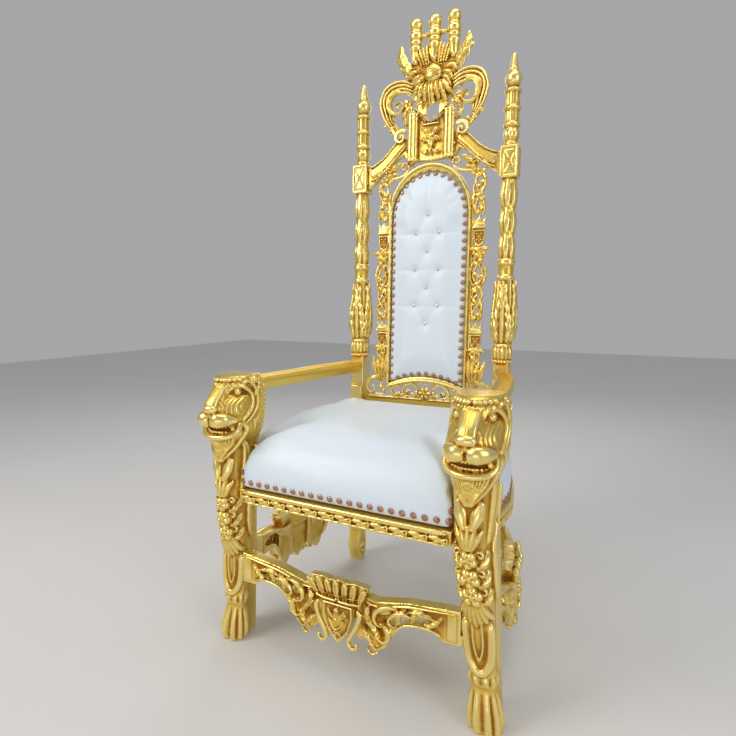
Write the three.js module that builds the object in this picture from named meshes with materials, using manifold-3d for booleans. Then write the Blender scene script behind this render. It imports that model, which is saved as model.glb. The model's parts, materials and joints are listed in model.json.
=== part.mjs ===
// A carved and gilded armchair throne: lion-headed front legs, turned back posts with finials, an arched
// upholstered back set in pierced carving, a crowned crest and a domed upholstered seat.
// Millimetres. +Z is up, the throne faces -Y, and +X is the right-hand side as seen from the front.
import * as THREE from "three";
import { mergeVertices } from "three/addons/utils/BufferGeometryUtils.js";
import Module from "manifold-3d";

const wasm = await Module();
wasm.setup();

// ---------------------------------------------------------------- driving dimensions
const GAP = 0.3; // clearance between pieces that touch

// Back: two posts that lean back a little, everything between them in one leaning plane
const POST_X = 249; // post centre from the middle
const BACK_Y = 563; // back plane at floor height, measured from the centres of the front paws
const LEAN = 0.0343; // how far the back plane runs back for each millimetre up
const POST_W = 52;
const BLOCK_LOW = 1304; // square block at the top of each post
const BLOCK_TOP = 1398;
const FINIAL_TOP = 1663;
const COLUMN_LOW = 806; // acanthus column, with the fluted knob under it
const COLUMN_TOP = 1008;
const KNOB_LOW = 749;
const ARM_MIDDLE = 709; // height of the middle of the arms
const BASE_TOP = 646; // top of the square lower part of the post

// Arched back frame and its pad
const FRAME_HALF = 138;
const PAD_HALF = 128;
const FRAME_BOTTOM = 640; // lower corners of the frame
const BOTTOM_RISE = 30; // how far the frame's bottom edge arches up
const LOWER_RAIL_TOP = 612; // lower rail of the back, under the frame
const FRAME_SPRING = 1215; // where the arch starts
const FRAME_TOP = 1378;
const PAD_TOP = 1350;

// Crest
const CREST_TOP = 1830;
const SHIELD_LOW = 1384;
const SHIELD_TOP = 1530;

// Front legs and seat
const HEAD_X = 322; // centre of the lion head from the middle
const HEAD_TOP = 750;
const MANE_HALF = 56; // half width of the mane
const LEG_HALF = 38; // half width of the leg at the seat rail
const STILE_BACK = 78; // back face of the flat stile behind each front leg
const SPLAY = 0.08; // how far a front leg moves out for each millimetre down
const RAIL_TOP = 459;
const RAIL_LOW = 424;
const RAIL_FACE = -35; // front face of the front rail
const SEAT_TOP = 614;
const SEAT_BACK = 540;
const SEAT_SIDE_BACK = 276; // half width of the cushion at its back edge
const STRETCHER_HALF = 299; // half length of the front stretcher
const STRETCHER_TOP = 268;
const STRETCHER_LOW = 106;

// ---------------------------------------------------------------- materials
const gold = () => new THREE.MeshStandardMaterial({ color: 0xd9a93f, roughness: 0.35, metalness: 1 });
const leatherette = () => new THREE.MeshStandardMaterial({ color: 0xdbe7ee, roughness: 0.45, metalness: 0 });

// ---------------------------------------------------------------- solids
// Turns a closed three.js geometry into a manifold solid whose faces point out.
function solid(geometry) {
  const bare = geometry.index ? geometry.toNonIndexed() : geometry.clone();
  for (const name of Object.keys(bare.attributes)) {
    if (name !== "position") bare.deleteAttribute(name);
  }
  const merged = mergeVertices(bare, 1e-3);
  const p = merged.attributes.position;
  const index = merged.index.array;
  const kept = [];
  let volume = 0;
  const corner = [new THREE.Vector3(), new THREE.Vector3(), new THREE.Vector3()];
  for (let i = 0; i < index.length; i += 3) {
    const [a, b, c] = [index[i], index[i + 1], index[i + 2]];
    if (a === b || b === c || c === a) continue;
    kept.push([a, b, c]);
    corner.forEach((v, k) => v.fromBufferAttribute(p, index[i + k]));
    volume += corner[0].dot(corner[1].clone().cross(corner[2]));
  }
  const triVerts = new Uint32Array(kept.flatMap(([a, b, c]) => (volume > 0 ? [a, b, c] : [a, c, b])));
  return new wasm.Manifold(new wasm.Mesh({ numProp: 3, vertProperties: new Float32Array(p.array), triVerts }));
}

// Joins closed geometries (or solids) into one solid.
function joined(pieces) {
  const solids = pieces.map((piece) => (piece.isBufferGeometry ? solid(piece) : piece));
  return solids.reduce((whole, next) => whole.add(next));
}

function geometryOf(body) {
  const mesh = body.getMesh();
  return new THREE.BufferGeometry()
    .setAttribute("position", new THREE.BufferAttribute(mesh.vertProperties, mesh.numProp))
    .setIndex(new THREE.BufferAttribute(mesh.triVerts, 1));
}

const at = (x, y, z) => new THREE.Vector3(x, y, z);
const mix = (a, b, t) => a + (b - a) * t;
const moved = (geometry, x, y, z) => geometry.translate(x, y, z);

// A geometry's copy on the other side of the middle plane.
const mirrored = (geometry) => geometry.clone().scale(-1, 1, 1);
const bothSides = (pieces) => pieces.flatMap((piece) => [piece, mirrored(piece)]);

// Moves every vertex of a geometry to place(x, y, z).
function reshaped(geometry, place) {
  const p = geometry.attributes.position;
  for (let i = 0; i < p.count; i++) {
    const v = place(p.getX(i), p.getY(i), p.getZ(i));
    p.setXYZ(i, v.x, v.y, v.z);
  }
  return geometry;
}

// A capped tube of sides x steps faces: place(t, angle, r) says where the point at height t (0 to 1), angle and
// relative radius r (0 in the middle of a cap, 1 on the wall) goes.
function tube(sides, steps, place) {
  return reshaped(new THREE.CylinderGeometry(1, 1, 1, sides, steps), (x, y, z) =>
    place(y + 0.5, Math.atan2(z, x), Math.min(1, Math.hypot(x, z))),
  );
}

// A carved band along path(t), with its half width in the plane of the carving and its half depth towards facing.
function band(path, steps, width, depth, sides = 4, facing = at(0, -1, 0)) {
  const size = (value, t) => (typeof value === "function" ? value(t) : value);
  return tube(sides, steps, (t, angle, r) => {
    const e = 1e-3;
    const along = path(Math.min(1, t + e)).sub(path(Math.max(0, t - e))).normalize();
    const across = along.clone().cross(facing).normalize();
    const lift = across.clone().cross(along).normalize();
    return path(t)
      .addScaledVector(across, r * size(width, t) * Math.cos(angle))
      .addScaledVector(lift, r * size(depth, t) * Math.sin(angle));
  });
}

// A smooth route through points given as [x, y, z].
function route(points) {
  const curve = new THREE.CatmullRomCurve3(points.map((p) => at(...p)), false, "centripetal");
  return (t) => curve.getPoint(Math.min(1, Math.max(0, t)));
}

// A volute in the plane of the back, from its outer end in to its eye.
function spiral(x, y, z, outer, inner, from, turns) {
  return (t) => {
    const angle = from + turns * 2 * Math.PI * t;
    const radius = mix(outer, inner, t);
    return at(x + radius * Math.cos(angle), y, z + radius * Math.sin(angle));
  };
}

// A leaf or petal: a pointed lens between two ends, bowed towards -Y by bow.
function leaf(from, to, width, thick, bow = 0) {
  const [a, b] = [at(...from), at(...to)];
  const along = b.clone().sub(a);
  const side = along.clone().cross(at(0, -1, 0)).normalize();
  return reshaped(new THREE.SphereGeometry(1, 4, 4), (x, y, z) => {
    const t = (y + 1) / 2;
    return a
      .clone()
      .addScaledVector(along, t)
      .addScaledVector(side, x * width)
      .add(at(0, z * thick - bow * Math.sin(Math.PI * t), 0));
  });
}

// A rounded lump, and a small bead.
const lump = (x, y, z, rx, ry, rz, sides = 6, rings = 4) =>
  moved(new THREE.SphereGeometry(1, sides, rings).rotateX(Math.PI / 2).scale(rx, ry, rz), x, y, z);
const bead = (x, y, z, r) => moved(new THREE.OctahedronGeometry(r), x, y, z);
const block = (x0, x1, y0, y1, z0, z1) =>
  moved(new THREE.BoxGeometry(x1 - x0, y1 - y0, z1 - z0), (x0 + x1) / 2, (y0 + y1) / 2, (z0 + z1) / 2);

// A piece turned about an upright axis, from [radius, height] points.
const turned = (profile, sides) =>
  new THREE.LatheGeometry(profile.map(([r, h]) => new THREE.Vector2(r, h)), sides).rotateX(Math.PI / 2);

// A flat outline in the plane of the back, given a thickness from y0 to y1.
function board(outline, y0, y1, segments = 6, bevel = 0) {
  const geometry = new THREE.ExtrudeGeometry(outline, {
    depth: y1 - y0 - 2 * bevel,
    curveSegments: segments,
    bevelEnabled: bevel > 0,
    bevelThickness: bevel,
    bevelSize: bevel,
    bevelOffset: -bevel,
    bevelSegments: 1,
  });
  return moved(geometry.rotateX(Math.PI / 2), 0, y1 - bevel, 0);
}
const outlineOf = (points) => new THREE.Shape(points.map(([x, z]) => new THREE.Vector2(x, z)));

// A board with openings cut right through it, given as outlines.
function pierced(plate, openings) {
  const cut = (whole, outline) => whole.subtract(solid(board(outline, -60, 60, 3)));
  return geometryOf(openings.reduce(cut, solid(plate)));
}

// Sets a piece drawn about the middle of the back plane into its lean.
const leaned = (geometry) =>
  reshaped(geometry, (x, y, z) => at(x, y + BACK_Y + LEAN * z, z));


// ---------------------------------------------------------------- the throne
const throne = new THREE.Group();
const back = new THREE.Group(); // the leaning back: posts, frame, pad, frets and crest
const front = new THREE.Group(); // the legs, arms, seat and stretchers
throne.add(back, front);

function addPiece(group, name, pieces, material = gold()) {
  const mesh = new THREE.Mesh(geometryOf(joined(pieces)), material);
  mesh.name = name;
  group.add(mesh);
  return mesh;
}

// A piece for each side, from the pieces of the right-hand one.
function addPair(group, name, pieces, material = gold) {
  const right = addPiece(group, name + "_right", pieces, material());
  const left = new THREE.Mesh(right.geometry, material());
  left.name = name + "_left";
  left.scale.x = -1;
  group.add(left);
}

// ---------------------------------------------------------------- back posts
// The turned top of a post: vase, three rings, ball and spire.
function finial() {
  const ring = 26;
  const shaft = 21;
  return turned(
    [
      [0, BLOCK_TOP - 4], [17, BLOCK_TOP - 4], [ring, 1434], [20, 1452], [ring, 1458], [shaft, 1464],
      [shaft, 1499], [ring, 1505], [shaft, 1511], [shaft, 1550], [ring, 1556], [16, 1568],
      [25, 1593], [13, 1614], [8, 1656], [0, FINIAL_TOP],
    ],
    6,
  );
}

// The collar over the column, its twin ring and three tiers of reeded lobes up to the square block.
function reededTiers() {
  const ends = [1062, 1142, 1218, BLOCK_LOW + 6];
  const tiers = ends.slice(1).flatMap((end, i) => [[26, mix(ends[i], end, 0.45)], [19, end]]);
  const collar = [[0, COLUMN_TOP - 6], [27, COLUMN_TOP - 6], [23, COLUMN_TOP + 6], [23, 1048], [28, 1055], [20, 1062]];
  const smooth = turned([...collar, ...tiers, [0, BLOCK_LOW + 6]], 10);
  return reshaped(smooth, (x, y, z) => {
    const k = z > 1063 ? 1 - 0.14 * (0.5 - 0.5 * Math.cos(5 * Math.atan2(y, x))) : 1;
    return at(x * k, y * k, z);
  });
}

// The acanthus column swells downwards and ends in a fluted knob that stands proud of the post.
function acanthusColumn() {
  const shaft = tube(8, 3, (t, angle, r) => {
    const half = mix(30, 26, t) + 2 * Math.sin(Math.PI * t);
    const round = 1 / Math.max(Math.abs(Math.cos(angle)), Math.abs(Math.sin(angle))) ** 0.5;
    const z = mix(COLUMN_LOW - 4, COLUMN_TOP, t);
    return at(r * half * round * Math.cos(angle), r * half * round * Math.sin(angle), z);
  });
  return [shaft, leaf([0, -24, 826], [0, -24, 990], 22, 9, 6)];
}

function flutedKnob() {
  return tube(12, 2, (t, angle, r) => {
    const swell = [27, 34, 27][Math.round(2 * t)];
    const flute = 1 - 0.1 * (0.5 - 0.5 * Math.cos(6 * angle));
    return at(r * swell * flute * Math.cos(angle), -10 + r * swell * flute * Math.sin(angle), mix(KNOB_LOW, COLUMN_LOW, t));
  });
}

// The back leg sweeps back to a scroll that it stands on.
function backLeg() {
  const side = new THREE.Shape();
  side.moveTo(34, BASE_TOP);
  side.lineTo(-34, BASE_TOP);
  side.lineTo(-34, 430);
  side.quadraticCurveTo(-40, 240, -26, 110);
  side.quadraticCurveTo(-46, 60, -12, 0);
  side.lineTo(14, 0);
  side.quadraticCurveTo(30, 60, 20, 110);
  side.quadraticCurveTo(18, 240, 34, 430);
  const shape = board(side, -POST_W / 2 + 3, POST_W / 2 - 3, 2);
  return [shape.rotateZ(Math.PI / 2), ...bothSides([lump(POST_W / 2 - 5, -10, 55, 6, 20, 20, 6, 3)])];
}

function backPost() {
  const square = [
    block(-POST_W / 2, POST_W / 2, -POST_W / 2, POST_W / 2, BLOCK_LOW + 6, BLOCK_TOP - 6),
    block(-22, 22, -22, 22, BLOCK_LOW, BLOCK_TOP),
  ];
  const neck = block(-23, 23, -26, 30, BASE_TOP - 4, KNOB_LOW + 4); // the square part that takes the arm
  const spine = block(-20, 20, 4, 32, KNOB_LOW, COLUMN_LOW + 4); // the flat back of the post behind the knob
  return [...backLeg(), spine, neck, flutedKnob(), ...acanthusColumn(), reededTiers(), ...square, finial()];
}
addPair(back, "back_post", backPost().map((g) => leaned(moved(g, POST_X, 0, 0))));

// ---------------------------------------------------------------- front legs
// A leg is drawn about x = 0 and then moved out to its splayed centre line.
const legX = (z) => HEAD_X + SPLAY * Math.max(0, 430 - z);
const splayed = (geometry) => reshaped(geometry, (x, y, z) => at(x + legX(z), y, z));

// Values that change with height, as [height, value] stations.
function graph(stations) {
  return (z) => {
    const next = stations.findIndex(([h]) => h > z);
    if (next === 0) return stations[0][1];
    if (next < 0) return stations[stations.length - 1][1];
    const [[h0, v0], [h1, v1]] = [stations[next - 1], stations[next]];
    return mix(v0, v1, (z - h0) / (h1 - h0));
  };
}

// A capped tube through the given heights, whose sides stand at the given turns (degrees from the front, one half).
// place(turn, z) gives the point [x, y] for the right-hand half; it is mirrored for the other.
function carvedTube(turns, heights, place) {
  const sides = 2 * (turns.length - 1);
  return tube(sides, heights.length - 1, (t, angle, r) => {
    const k = Math.round((sides * (angle + Math.PI / 2)) / (2 * Math.PI));
    const step = ((k % sides) + sides) % sides;
    const half = step <= sides / 2 ? step : sides - step;
    const z = heights[Math.round(t * (heights.length - 1))];
    const [x, y] = place(turns[half], z);
    const [, centre] = place(90, z);
    return at(r * x * (step <= sides / 2 ? 1 : -1), mix(centre, y, r), z);
  });
}

// The leg: a small paw with four long toes set well back, a cuff of knuckles, a smooth shin and a knee that swells
// forward to the neck.
const LEG_MIDDLE = 18; // where the leg is widest, behind the paw line
function limb() {
  const toes = [0, 12, 27, 38, 50, 65, 78, 110, 180];
  const isGroove = (turn) => [0, 38, 78].includes(turn);
  const half = graph([[0, 36], [14, 40], [55, 39], [90, 32], [104, 30], [120, 35], [138, 31], [200, 31], [290, 34],
    [385, LEG_HALF], [575, LEG_HALF]]);
  const reach = graph([[0, 9], [14, 15], [55, 11], [88, 3], [104, -1], [120, 5], [138, 0], [200, 3], [261, 8], [300, 16],
    [330, 26], [385, 40], [440, 44], [575, 44]]);
  const groove = graph([[0, 0.1], [14, 0.2], [60, 0.2], [96, 0.08], [104, 0.02], [120, 0.2], [138, 0], [600, 0]]);
  return carvedTube(toes, [0, 14, 55, 96, 120, 138, 200, 290, 330, 385, 575], (turn, z) => {
    const angle = (turn * Math.PI) / 180;
    const k = isGroove(turn) ? 1 - groove(z) : 1;
    const depth = turn < 90 ? reach(z) + LEG_MIDDLE : 24;
    return [k * half(z) * Math.sin(angle) ** 0.85, LEG_MIDDLE - k * depth * Math.cos(angle)];
  });
}

// Raised work on the front of the leg: loop, scalloped shell, roses and the leaves under the beard.
function legCarving() {
  const loop = band(route([[-25, 3, 245], [-25, 5, 180], [0, -2, 143], [25, 5, 180], [25, 3, 245]]), 6, 6, 7);
  const shell = board(outlineOf([[-36, 282], [-28, 262], [-17, 267], [0, 253], [17, 267], [28, 262], [36, 282],
    [22, 310], [-22, 310]]), -20, 8);
  const roses = [[329, -15], [371, -29], [414, -32]].map(([z, y]) => lump(0, y, z, 24, 17, 23, 6, 3));
  const underChin = [-1, 1].map((i) => leaf([i * 8, -34, 440], [i * 20, -37, 556], 20, 15));
  return [loop, shell, ...roses, ...underChin];
}

// The lion, as plans of its head at rising heights: each runs from the middle of the face round one side to the nape.
// The face slopes from a set-back brow down a long nose to a full muzzle, over the open mouth and the jaw.
const headPlans = [
  [566, [[0, -50], [16, -46], [26, -32], [32, -12], [37, 10], [40, 30], [36, 52], [0, 60]]],
  [588, [[0, -58], [20, -55], [34, -43], [42, -25], [47, 0], [50, 26], [44, 56], [0, 60]]],
  [602, [[0, -68], [22, -66], [38, -58], [49, -40], [50, -8], [53, 24], [50, 60], [0, 62]]],
  [615, [[0, -56], [22, -54], [38, -45], [46, -28], [50, -6], [55, 26], [52, 62], [0, 62]]],
  [626, [[0, -58], [22, -57], [38, -48], [47, -30], [51, -6], [56, 27], [53, 64], [0, 62]]],
  [642, [[0, -72], [20, -79], [40, -69], [53, -44], [53, -12], [57, 28], [54, 66], [0, 62]]],
  [657, [[0, -78], [16, -80], [32, -64], [42, -40], [53, -8], [57, 28], [54, 68], [0, 62]]],
  [674, [[0, -88], [15, -84], [23, -60], [36, -32], [50, 0], [57, 30], [54, 70], [0, 62]]],
  [690, [[0, -72], [14, -68], [20, -44], [31, -16], [46, 10], [56, 32], [54, 70], [0, 62]]],
  [706, [[0, -57], [15, -53], [20, -28], [30, -4], [46, 13], [55, 32], [53, 66], [0, 62]]],
  [722, [[0, -44], [17, -40], [33, -27], [46, -11], [53, 10], [55, 32], [51, 62], [0, 62]]],
  [738, [[0, -38], [18, -33], [34, -20], [47, -4], [52, 14], [53, 34], [48, 62], [0, 62]]],
  [HEAD_TOP, [[0, -26], [16, -21], [30, -10], [42, 6], [47, 22], [48, 38], [44, 60], [0, 60]]],
];
const planTurns = [0, 15, 35, 55, 72, 90, 130, 180];

function lionHead() {
  const heights = headPlans.map(([z]) => z);
  const skull = carvedTube(planTurns, heights, (turn, z) => headPlans[heights.indexOf(z)][1][planTurns.indexOf(turn)]);
  const eyes = bothSides([bead(25, -3, 709, 10)]);
  const beard = tube(6, 1, (t, angle, r) =>
    at(r * mix(5, 40, t) * Math.cos(angle), -32 + r * mix(12, 30, t) * Math.sin(angle), mix(528, 598, t)));
  const ears = bothSides([leaf([50, 30, 690], [61, 38, 728], 11, 9)]);
  const ruff = bothSides([
    board(outlineOf([[0, 556], [34, 552], [34, 585], [48, 600], [44, 640], [54, 660], [44, 705], [0, 720]]), -8, 8)
      .rotateZ(Math.PI / 2).translate(48, 20, 0),
  ]);
  return [skull, ...eyes, beard, ...ears, ...ruff];
}

function frontLeg() {
  const stile = block(-26, 26, 34, STILE_BACK, 0, HEAD_TOP - 12);
  return [stile, limb(), ...legCarving(), ...lionHead()].map(splayed);
}
addPair(front, "front_leg", frontLeg());

// ---------------------------------------------------------------- arms
// A moulding along path(t), whose section lists its corners anticlockwise as [across, lift].
function moulding(path, steps, section, facing) {
  const corners = section.length;
  return tube(corners, steps, (t, angle, r) => {
    const k = Math.round((corners * angle) / (2 * Math.PI) + corners) % corners;
    const e = 1e-3;
    const along = path(Math.min(1, t + e)).sub(path(Math.max(0, t - e))).normalize();
    const across = along.clone().cross(facing).normalize();
    const lift = across.clone().cross(along).normalize();
    return path(t).addScaledVector(across, r * section[k][0]).addScaledVector(lift, r * section[k][1]);
  });
}

const keepBetween = (piece, y0, y1) => solid(piece).intersect(solid(block(-500, 500, y0, y1, -10, 2000)));

// Arms with raised edges bow out from the posts to the stiles behind the lion heads.
function arm() {
  const line = route([[POST_X + 2, BACK_Y + 10, ARM_MIDDLE], [268, 500, ARM_MIDDLE], [296, 400, ARM_MIDDLE - 1],
    [317, 260, ARM_MIDDLE - 2], [326, 150, ARM_MIDDLE - 1], [325, 60, ARM_MIDDLE]]);
  const section = [[26, 0], [26, 15], [20, 22], [13, 16], [-13, 16], [-20, 22], [-26, 15], [-26, 0], [-16, -19],
    [16, -19]];
  const postFace = BACK_Y + LEAN * ARM_MIDDLE - 26;
  return keepBetween(moulding(line, 6, section, at(0, 0, 1)), STILE_BACK + GAP, postFace - GAP - 1);
}
addPair(front, "arm", [arm()]);

// ---------------------------------------------------------------- seat frame
// Half width of the seat frame at a distance behind the front paws: the sides bow out.
const seatHalf = graph([[-40, 338], [60, 346], [130, 358], [200, 363], [300, 348], [400, 322], [500, 290], [BACK_Y, 268]]);
const seatPostFace = BACK_Y + LEAN * RAIL_LOW - 34;

function frontRail() {
  const half = HEAD_X - LEG_HALF - 1;
  const section = [[RAIL_FACE, RAIL_LOW + 8], [RAIL_FACE, RAIL_LOW + 14], [RAIL_FACE + 6, RAIL_LOW + 18],
    [RAIL_FACE + 2, RAIL_TOP - 5], [RAIL_FACE + 6, RAIL_TOP], [30, RAIL_TOP], [30, RAIL_LOW], [RAIL_FACE + 8, RAIL_LOW]];
  return board(outlineOf(section), -half, half).rotateZ(Math.PI / 2);
}

function sideRail() {
  const middle = (RAIL_TOP + RAIL_LOW) / 2;
  const line = route([50, 130, 200, 300, 400, 500, BACK_Y].map((y) => [seatHalf(y) - 15, y, middle]));
  const tall = (RAIL_TOP - RAIL_LOW) / 2;
  const rail = moulding(line, 7, [[15, -tall], [15, tall], [-15, tall], [-15, -tall]], at(0, 0, 1));
  return keepBetween(rail, STILE_BACK + GAP, seatPostFace - GAP);
}

const backRail = () =>
  block(-POST_X + 24, POST_X - 24, seatPostFace + 14, seatPostFace + 54, RAIL_LOW, RAIL_TOP);

addPiece(front, "front_rail", [frontRail()]);
addPair(front, "side_rail", [sideRail()]);
addPiece(front, "back_rail", [backRail()]);

// ---------------------------------------------------------------- stretchers
// Half of the front stretcher's outline: square end, arched underside, scrolled middle.
const stretcherHalf = [[0, STRETCHER_LOW], [38, STRETCHER_LOW + 2], [60, 118], [92, 112], [112, 138], [132, 172], [165, 205],
  [210, 210], [246, 200], [262, 188], [STRETCHER_HALF, 188], [STRETCHER_HALF, STRETCHER_TOP], [262, 264], [180, 256],
  [100, 236], [66, 240]];
const stretcherHole = [[128, 188], [160, 222], [205, 226], [236, 214], [196, 214], [150, 200]];

function stretcherBoard(scale) {
  const wide = ([x, z]) => [x * scale, z];
  const right = stretcherHalf.map(wide);
  const left = right.slice(1).reverse().map(([x, z]) => [-x, z]);
  const openings = [1, -1].map((side) => outlineOf(stretcherHole.map(wide).map(([x, z]) => [side * x, z])));
  return pierced(board(outlineOf([...right, ...left]), -4, 24), openings);
}

// The coronet over a pointed shield between scrolls, in the middle of a stretcher.
function shieldAndCoronet() {
  const coronet = board(outlineOf([[-64, 218], [64, 218], [86, 272], [66, 262], [44, 278], [22, 266], [0, 280], [-22, 266],
    [-44, 278], [-66, 262], [-86, 272]]), -24, 12);
  const shield = board(outlineOf([[-46, 214], [-44, 180], [-30, 140], [0, STRETCHER_LOW], [30, 140], [44, 180], [46, 214]]),
    -16, 10);
  const sideScrolls = bothSides([band(route([[58, -8, 214], [56, -10, 180], [34, -10, 140], [30, -10, 118], [44, -10, 112],
    [50, -10, 124]]), 5, 8, 10)]);
  const leafScrolls = bothSides([band(route([[74, -2, 196], [100, -6, 206], [128, -6, 182], [112, -6, 156],
    [92, -6, 170]]), 5, (t) => mix(11, 7, t), 12)]);
  return [coronet, shield, ...sideScrolls, ...leafScrolls];
}
// The legs lean away towards the floor, so the foot of each end reaches a little further.
const endFeet = bothSides([block(STRETCHER_HALF - 9, STRETCHER_HALF + 7, -2, 22, 188, 214)]);
addPiece(front, "front_stretcher", [stretcherBoard(1), ...endFeet, ...shieldAndCoronet()]);

// The side stretchers are shorter copies that bow out between the front stiles and the back legs.
function sideStretcher() {
  const [y0, y1] = [STILE_BACK + 1, BACK_Y + LEAN * RAIL_LOW - 47];
  const scale = (y1 - y0) / (2 * STRETCHER_HALF);
  const bow = graph([[y0, 343], [180, 353], [290, 348], [400, 322], [480, 292], [y1, 262]]);
  const bent = (geometry) => reshaped(geometry, (x, y, z) => {
    const along = (y0 + y1) / 2 + x;
    return at(bow(along) - y, along, z);
  });
  const [coronet, shield] = shieldAndCoronet();
  return [stretcherBoard(scale), coronet.scale(scale, 0.7, 1), shield.scale(scale, 0.7, 1)].map(bent);
}
addPair(front, "side_stretcher", sideStretcher());

// ---------------------------------------------------------------- arched back frame and pad
function archOutline(half, low, rise, spring, top) {
  const outline = new THREE.Shape();
  outline.moveTo(-half, low);
  outline.quadraticCurveTo(0, low + 2 * rise, half, low);
  outline.lineTo(half, spring);
  outline.absellipse(0, spring, half, top - spring, 0, Math.PI, false);
  return outline;
}

function backFrame() {
  const outline = archOutline(FRAME_HALF, FRAME_BOTTOM, BOTTOM_RISE, FRAME_SPRING, FRAME_TOP);
  outline.holes.push(archOutline(PAD_HALF + 1, FRAME_BOTTOM + 20, BOTTOM_RISE, FRAME_SPRING, PAD_TOP));
  return board(outline, -24, 14, 7);
}
addPiece(back, "back_frame", [leaned(backFrame())]);

const backPad = () => board(archOutline(PAD_HALF, FRAME_BOTTOM + 22, BOTTOM_RISE, FRAME_SPRING, PAD_TOP - 2), -34, 12, 5, 7);
addPiece(back, "back_pad", [leaned(backPad())], leatherette());

// ---------------------------------------------------------------- pierced side frets
// A shield under a small crown, standing proud of the fret.
const crownedShield = (x, z) =>
  board(outlineOf([[x, z - 56], [x + 18, z - 40], [x + 20, z], [x + 27, z + 34], [x + 12, z + 20], [x, z + 36],
    [x - 12, z + 20], [x - 22, z + 32], [x - 19, z], [x - 17, z - 40]]), -20, 2);

// The fret is a chain of loops, shields and leaves whose outer edge swells at each one.
function sideFret() {
  const inner = FRAME_HALF + GAP + 0.4;
  const waist = 174;
  const swells = [[872, 190], [970, 178], [1060, 194], [1104, 184], [1200, 193], [1300, 190], [1336, 186]];
  const outline = new THREE.Shape();
  outline.moveTo(inner, LOWER_RAIL_TOP);
  outline.lineTo(214, LOWER_RAIL_TOP);
  outline.quadraticCurveTo(226, 640, 200, 668);
  outline.quadraticCurveTo(176, 700, 188, 750);
  outline.lineTo(190, 850);
  let low = 850;
  for (const [high, reach] of swells) {
    outline.quadraticCurveTo(2 * reach - waist, (low + high) / 2, waist, high);
    low = high;
  }
  outline.lineTo(150, 1330);
  outline.lineTo(inner, 1270);
  const openings = [[165, 640, 14, 12], [164, 915, 10, 30], [165, 1018, 11, 24], [165, 1248, 10, 26], [163, 1310, 8, 12]];
  const almond = ([x, z, half, tall]) => {
    const hole = new THREE.Shape();
    hole.moveTo(x, z - tall);
    hole.quadraticCurveTo(x - 2 * half, z, x, z + tall);
    hole.quadraticCurveTo(x + 2 * half, z, x, z - tall);
    return hole;
  };
  const plate = pierced(board(outline, -10, 10, 2), openings.map(almond));
  const curl = band(spiral(196, -8, 643, 22, 8, -Math.PI / 2, -0.9), 5, 7, 10);
  const sheaf = leaf([156, -6, 668], [170, -6, 760], 14, 14);
  return [plate, crownedShield(165, 1150), crownedShield(165, 842), sheaf, curl];
}
addPair(back, "side_fret", sideFret().map(leaned));

// The lower fret fills the space under the arched bottom of the frame, on the lower rail of the back.
function lowerFret() {
  const edge = FRAME_HALF - 2;
  const outline = new THREE.Shape();
  const end = POST_X - POST_W / 2 - 0.5;
  outline.moveTo(-end, LOWER_RAIL_TOP - 34);
  outline.lineTo(end, LOWER_RAIL_TOP - 34);
  outline.lineTo(end, LOWER_RAIL_TOP - GAP);
  outline.lineTo(edge, LOWER_RAIL_TOP - GAP);
  outline.lineTo(edge, FRAME_BOTTOM - 1);
  outline.quadraticCurveTo(0, FRAME_BOTTOM + 2 * BOTTOM_RISE - 2, -edge, FRAME_BOTTOM - 1);
  outline.lineTo(-edge, LOWER_RAIL_TOP - GAP);
  outline.lineTo(-end, LOWER_RAIL_TOP - GAP);
  const openings = [[26, 52, 622, 652], [66, 104, 616, 640]].flatMap(([x0, x1, z0, z1]) => [1, -1].map((side) =>
    outlineOf([[side * x0, z0 + 8], [side * (x0 + x1) / 2, z0], [side * x1, z0 + 6], [side * (x1 - 6), z1 - 8],
      [side * x0, z1]])));
  const rosette = tube(10, 1, (t, angle, r) => {
    const lobe = r * mix(26, 14, t) * (0.86 + 0.14 * Math.cos(5 * angle));
    return at(lobe * Math.cos(angle), -4 - 16 * t, 632 + lobe * Math.sin(angle));
  });
  return [pierced(board(outline, -10, 10, 5), openings), rosette];
}
addPiece(back, "lower_fret", lowerFret().map(leaned));

// ---------------------------------------------------------------- crest
// An outline with two equal halves, from the points of its right-hand half, bottom middle to top middle.
const evenOutline = (half) => outlineOf([...half, ...half.slice(1, -1).reverse().map(([x, z]) => [-x, z])]);

// The shield panel with a sweeping rail on each side down to the posts, and the carving between rail and arch.
function swanNeckRail() {
  const end = POST_X - POST_W / 2 - 0.5;
  const half = [[0, FRAME_TOP + 1], [31, FRAME_TOP - 3], [50, 1369], [84, 1347], [108, 1340], [137, 1338], [168, 1348], [202, 1330], [212, 1314],
    [end, 1314], [end, 1386], [192, 1396], [160, 1415], [125, 1448], [76, 1452], [74, 1540], [56, 1556], [0, 1512]];
  const opening = [[94, 1384], [120, 1374], [150, 1368], [178, 1354], [144, 1390], [102, 1414]];
  const openings = [1, -1].map((side) => outlineOf(opening.map(([x, z]) => [side * x, z])));
  const rail = band(route([[68, -14, 1384], [55, -16, 1402], [66, -18, 1430], [110, -18, 1430], [160, -18, 1394],
    [210, -18, 1350]]), 6, 12, 13);
  const columns = block(58, 70, -24, -6, SHIELD_LOW + 8, SHIELD_TOP + 6);
  const volute = lump(104, -12, 1466, 27, 14, 26, 8, 3);
  return [pierced(board(evenOutline(half), -14, 14), openings), ...bothSides([rail, columns, volute])];
}

const shieldPanel = () =>
  board(evenOutline([[0, SHIELD_LOW + 8], [30, 1412], [44, 1450], [46, 1506], [34, SHIELD_TOP - 12], [0, 1506]]), -26, -8);

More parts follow.
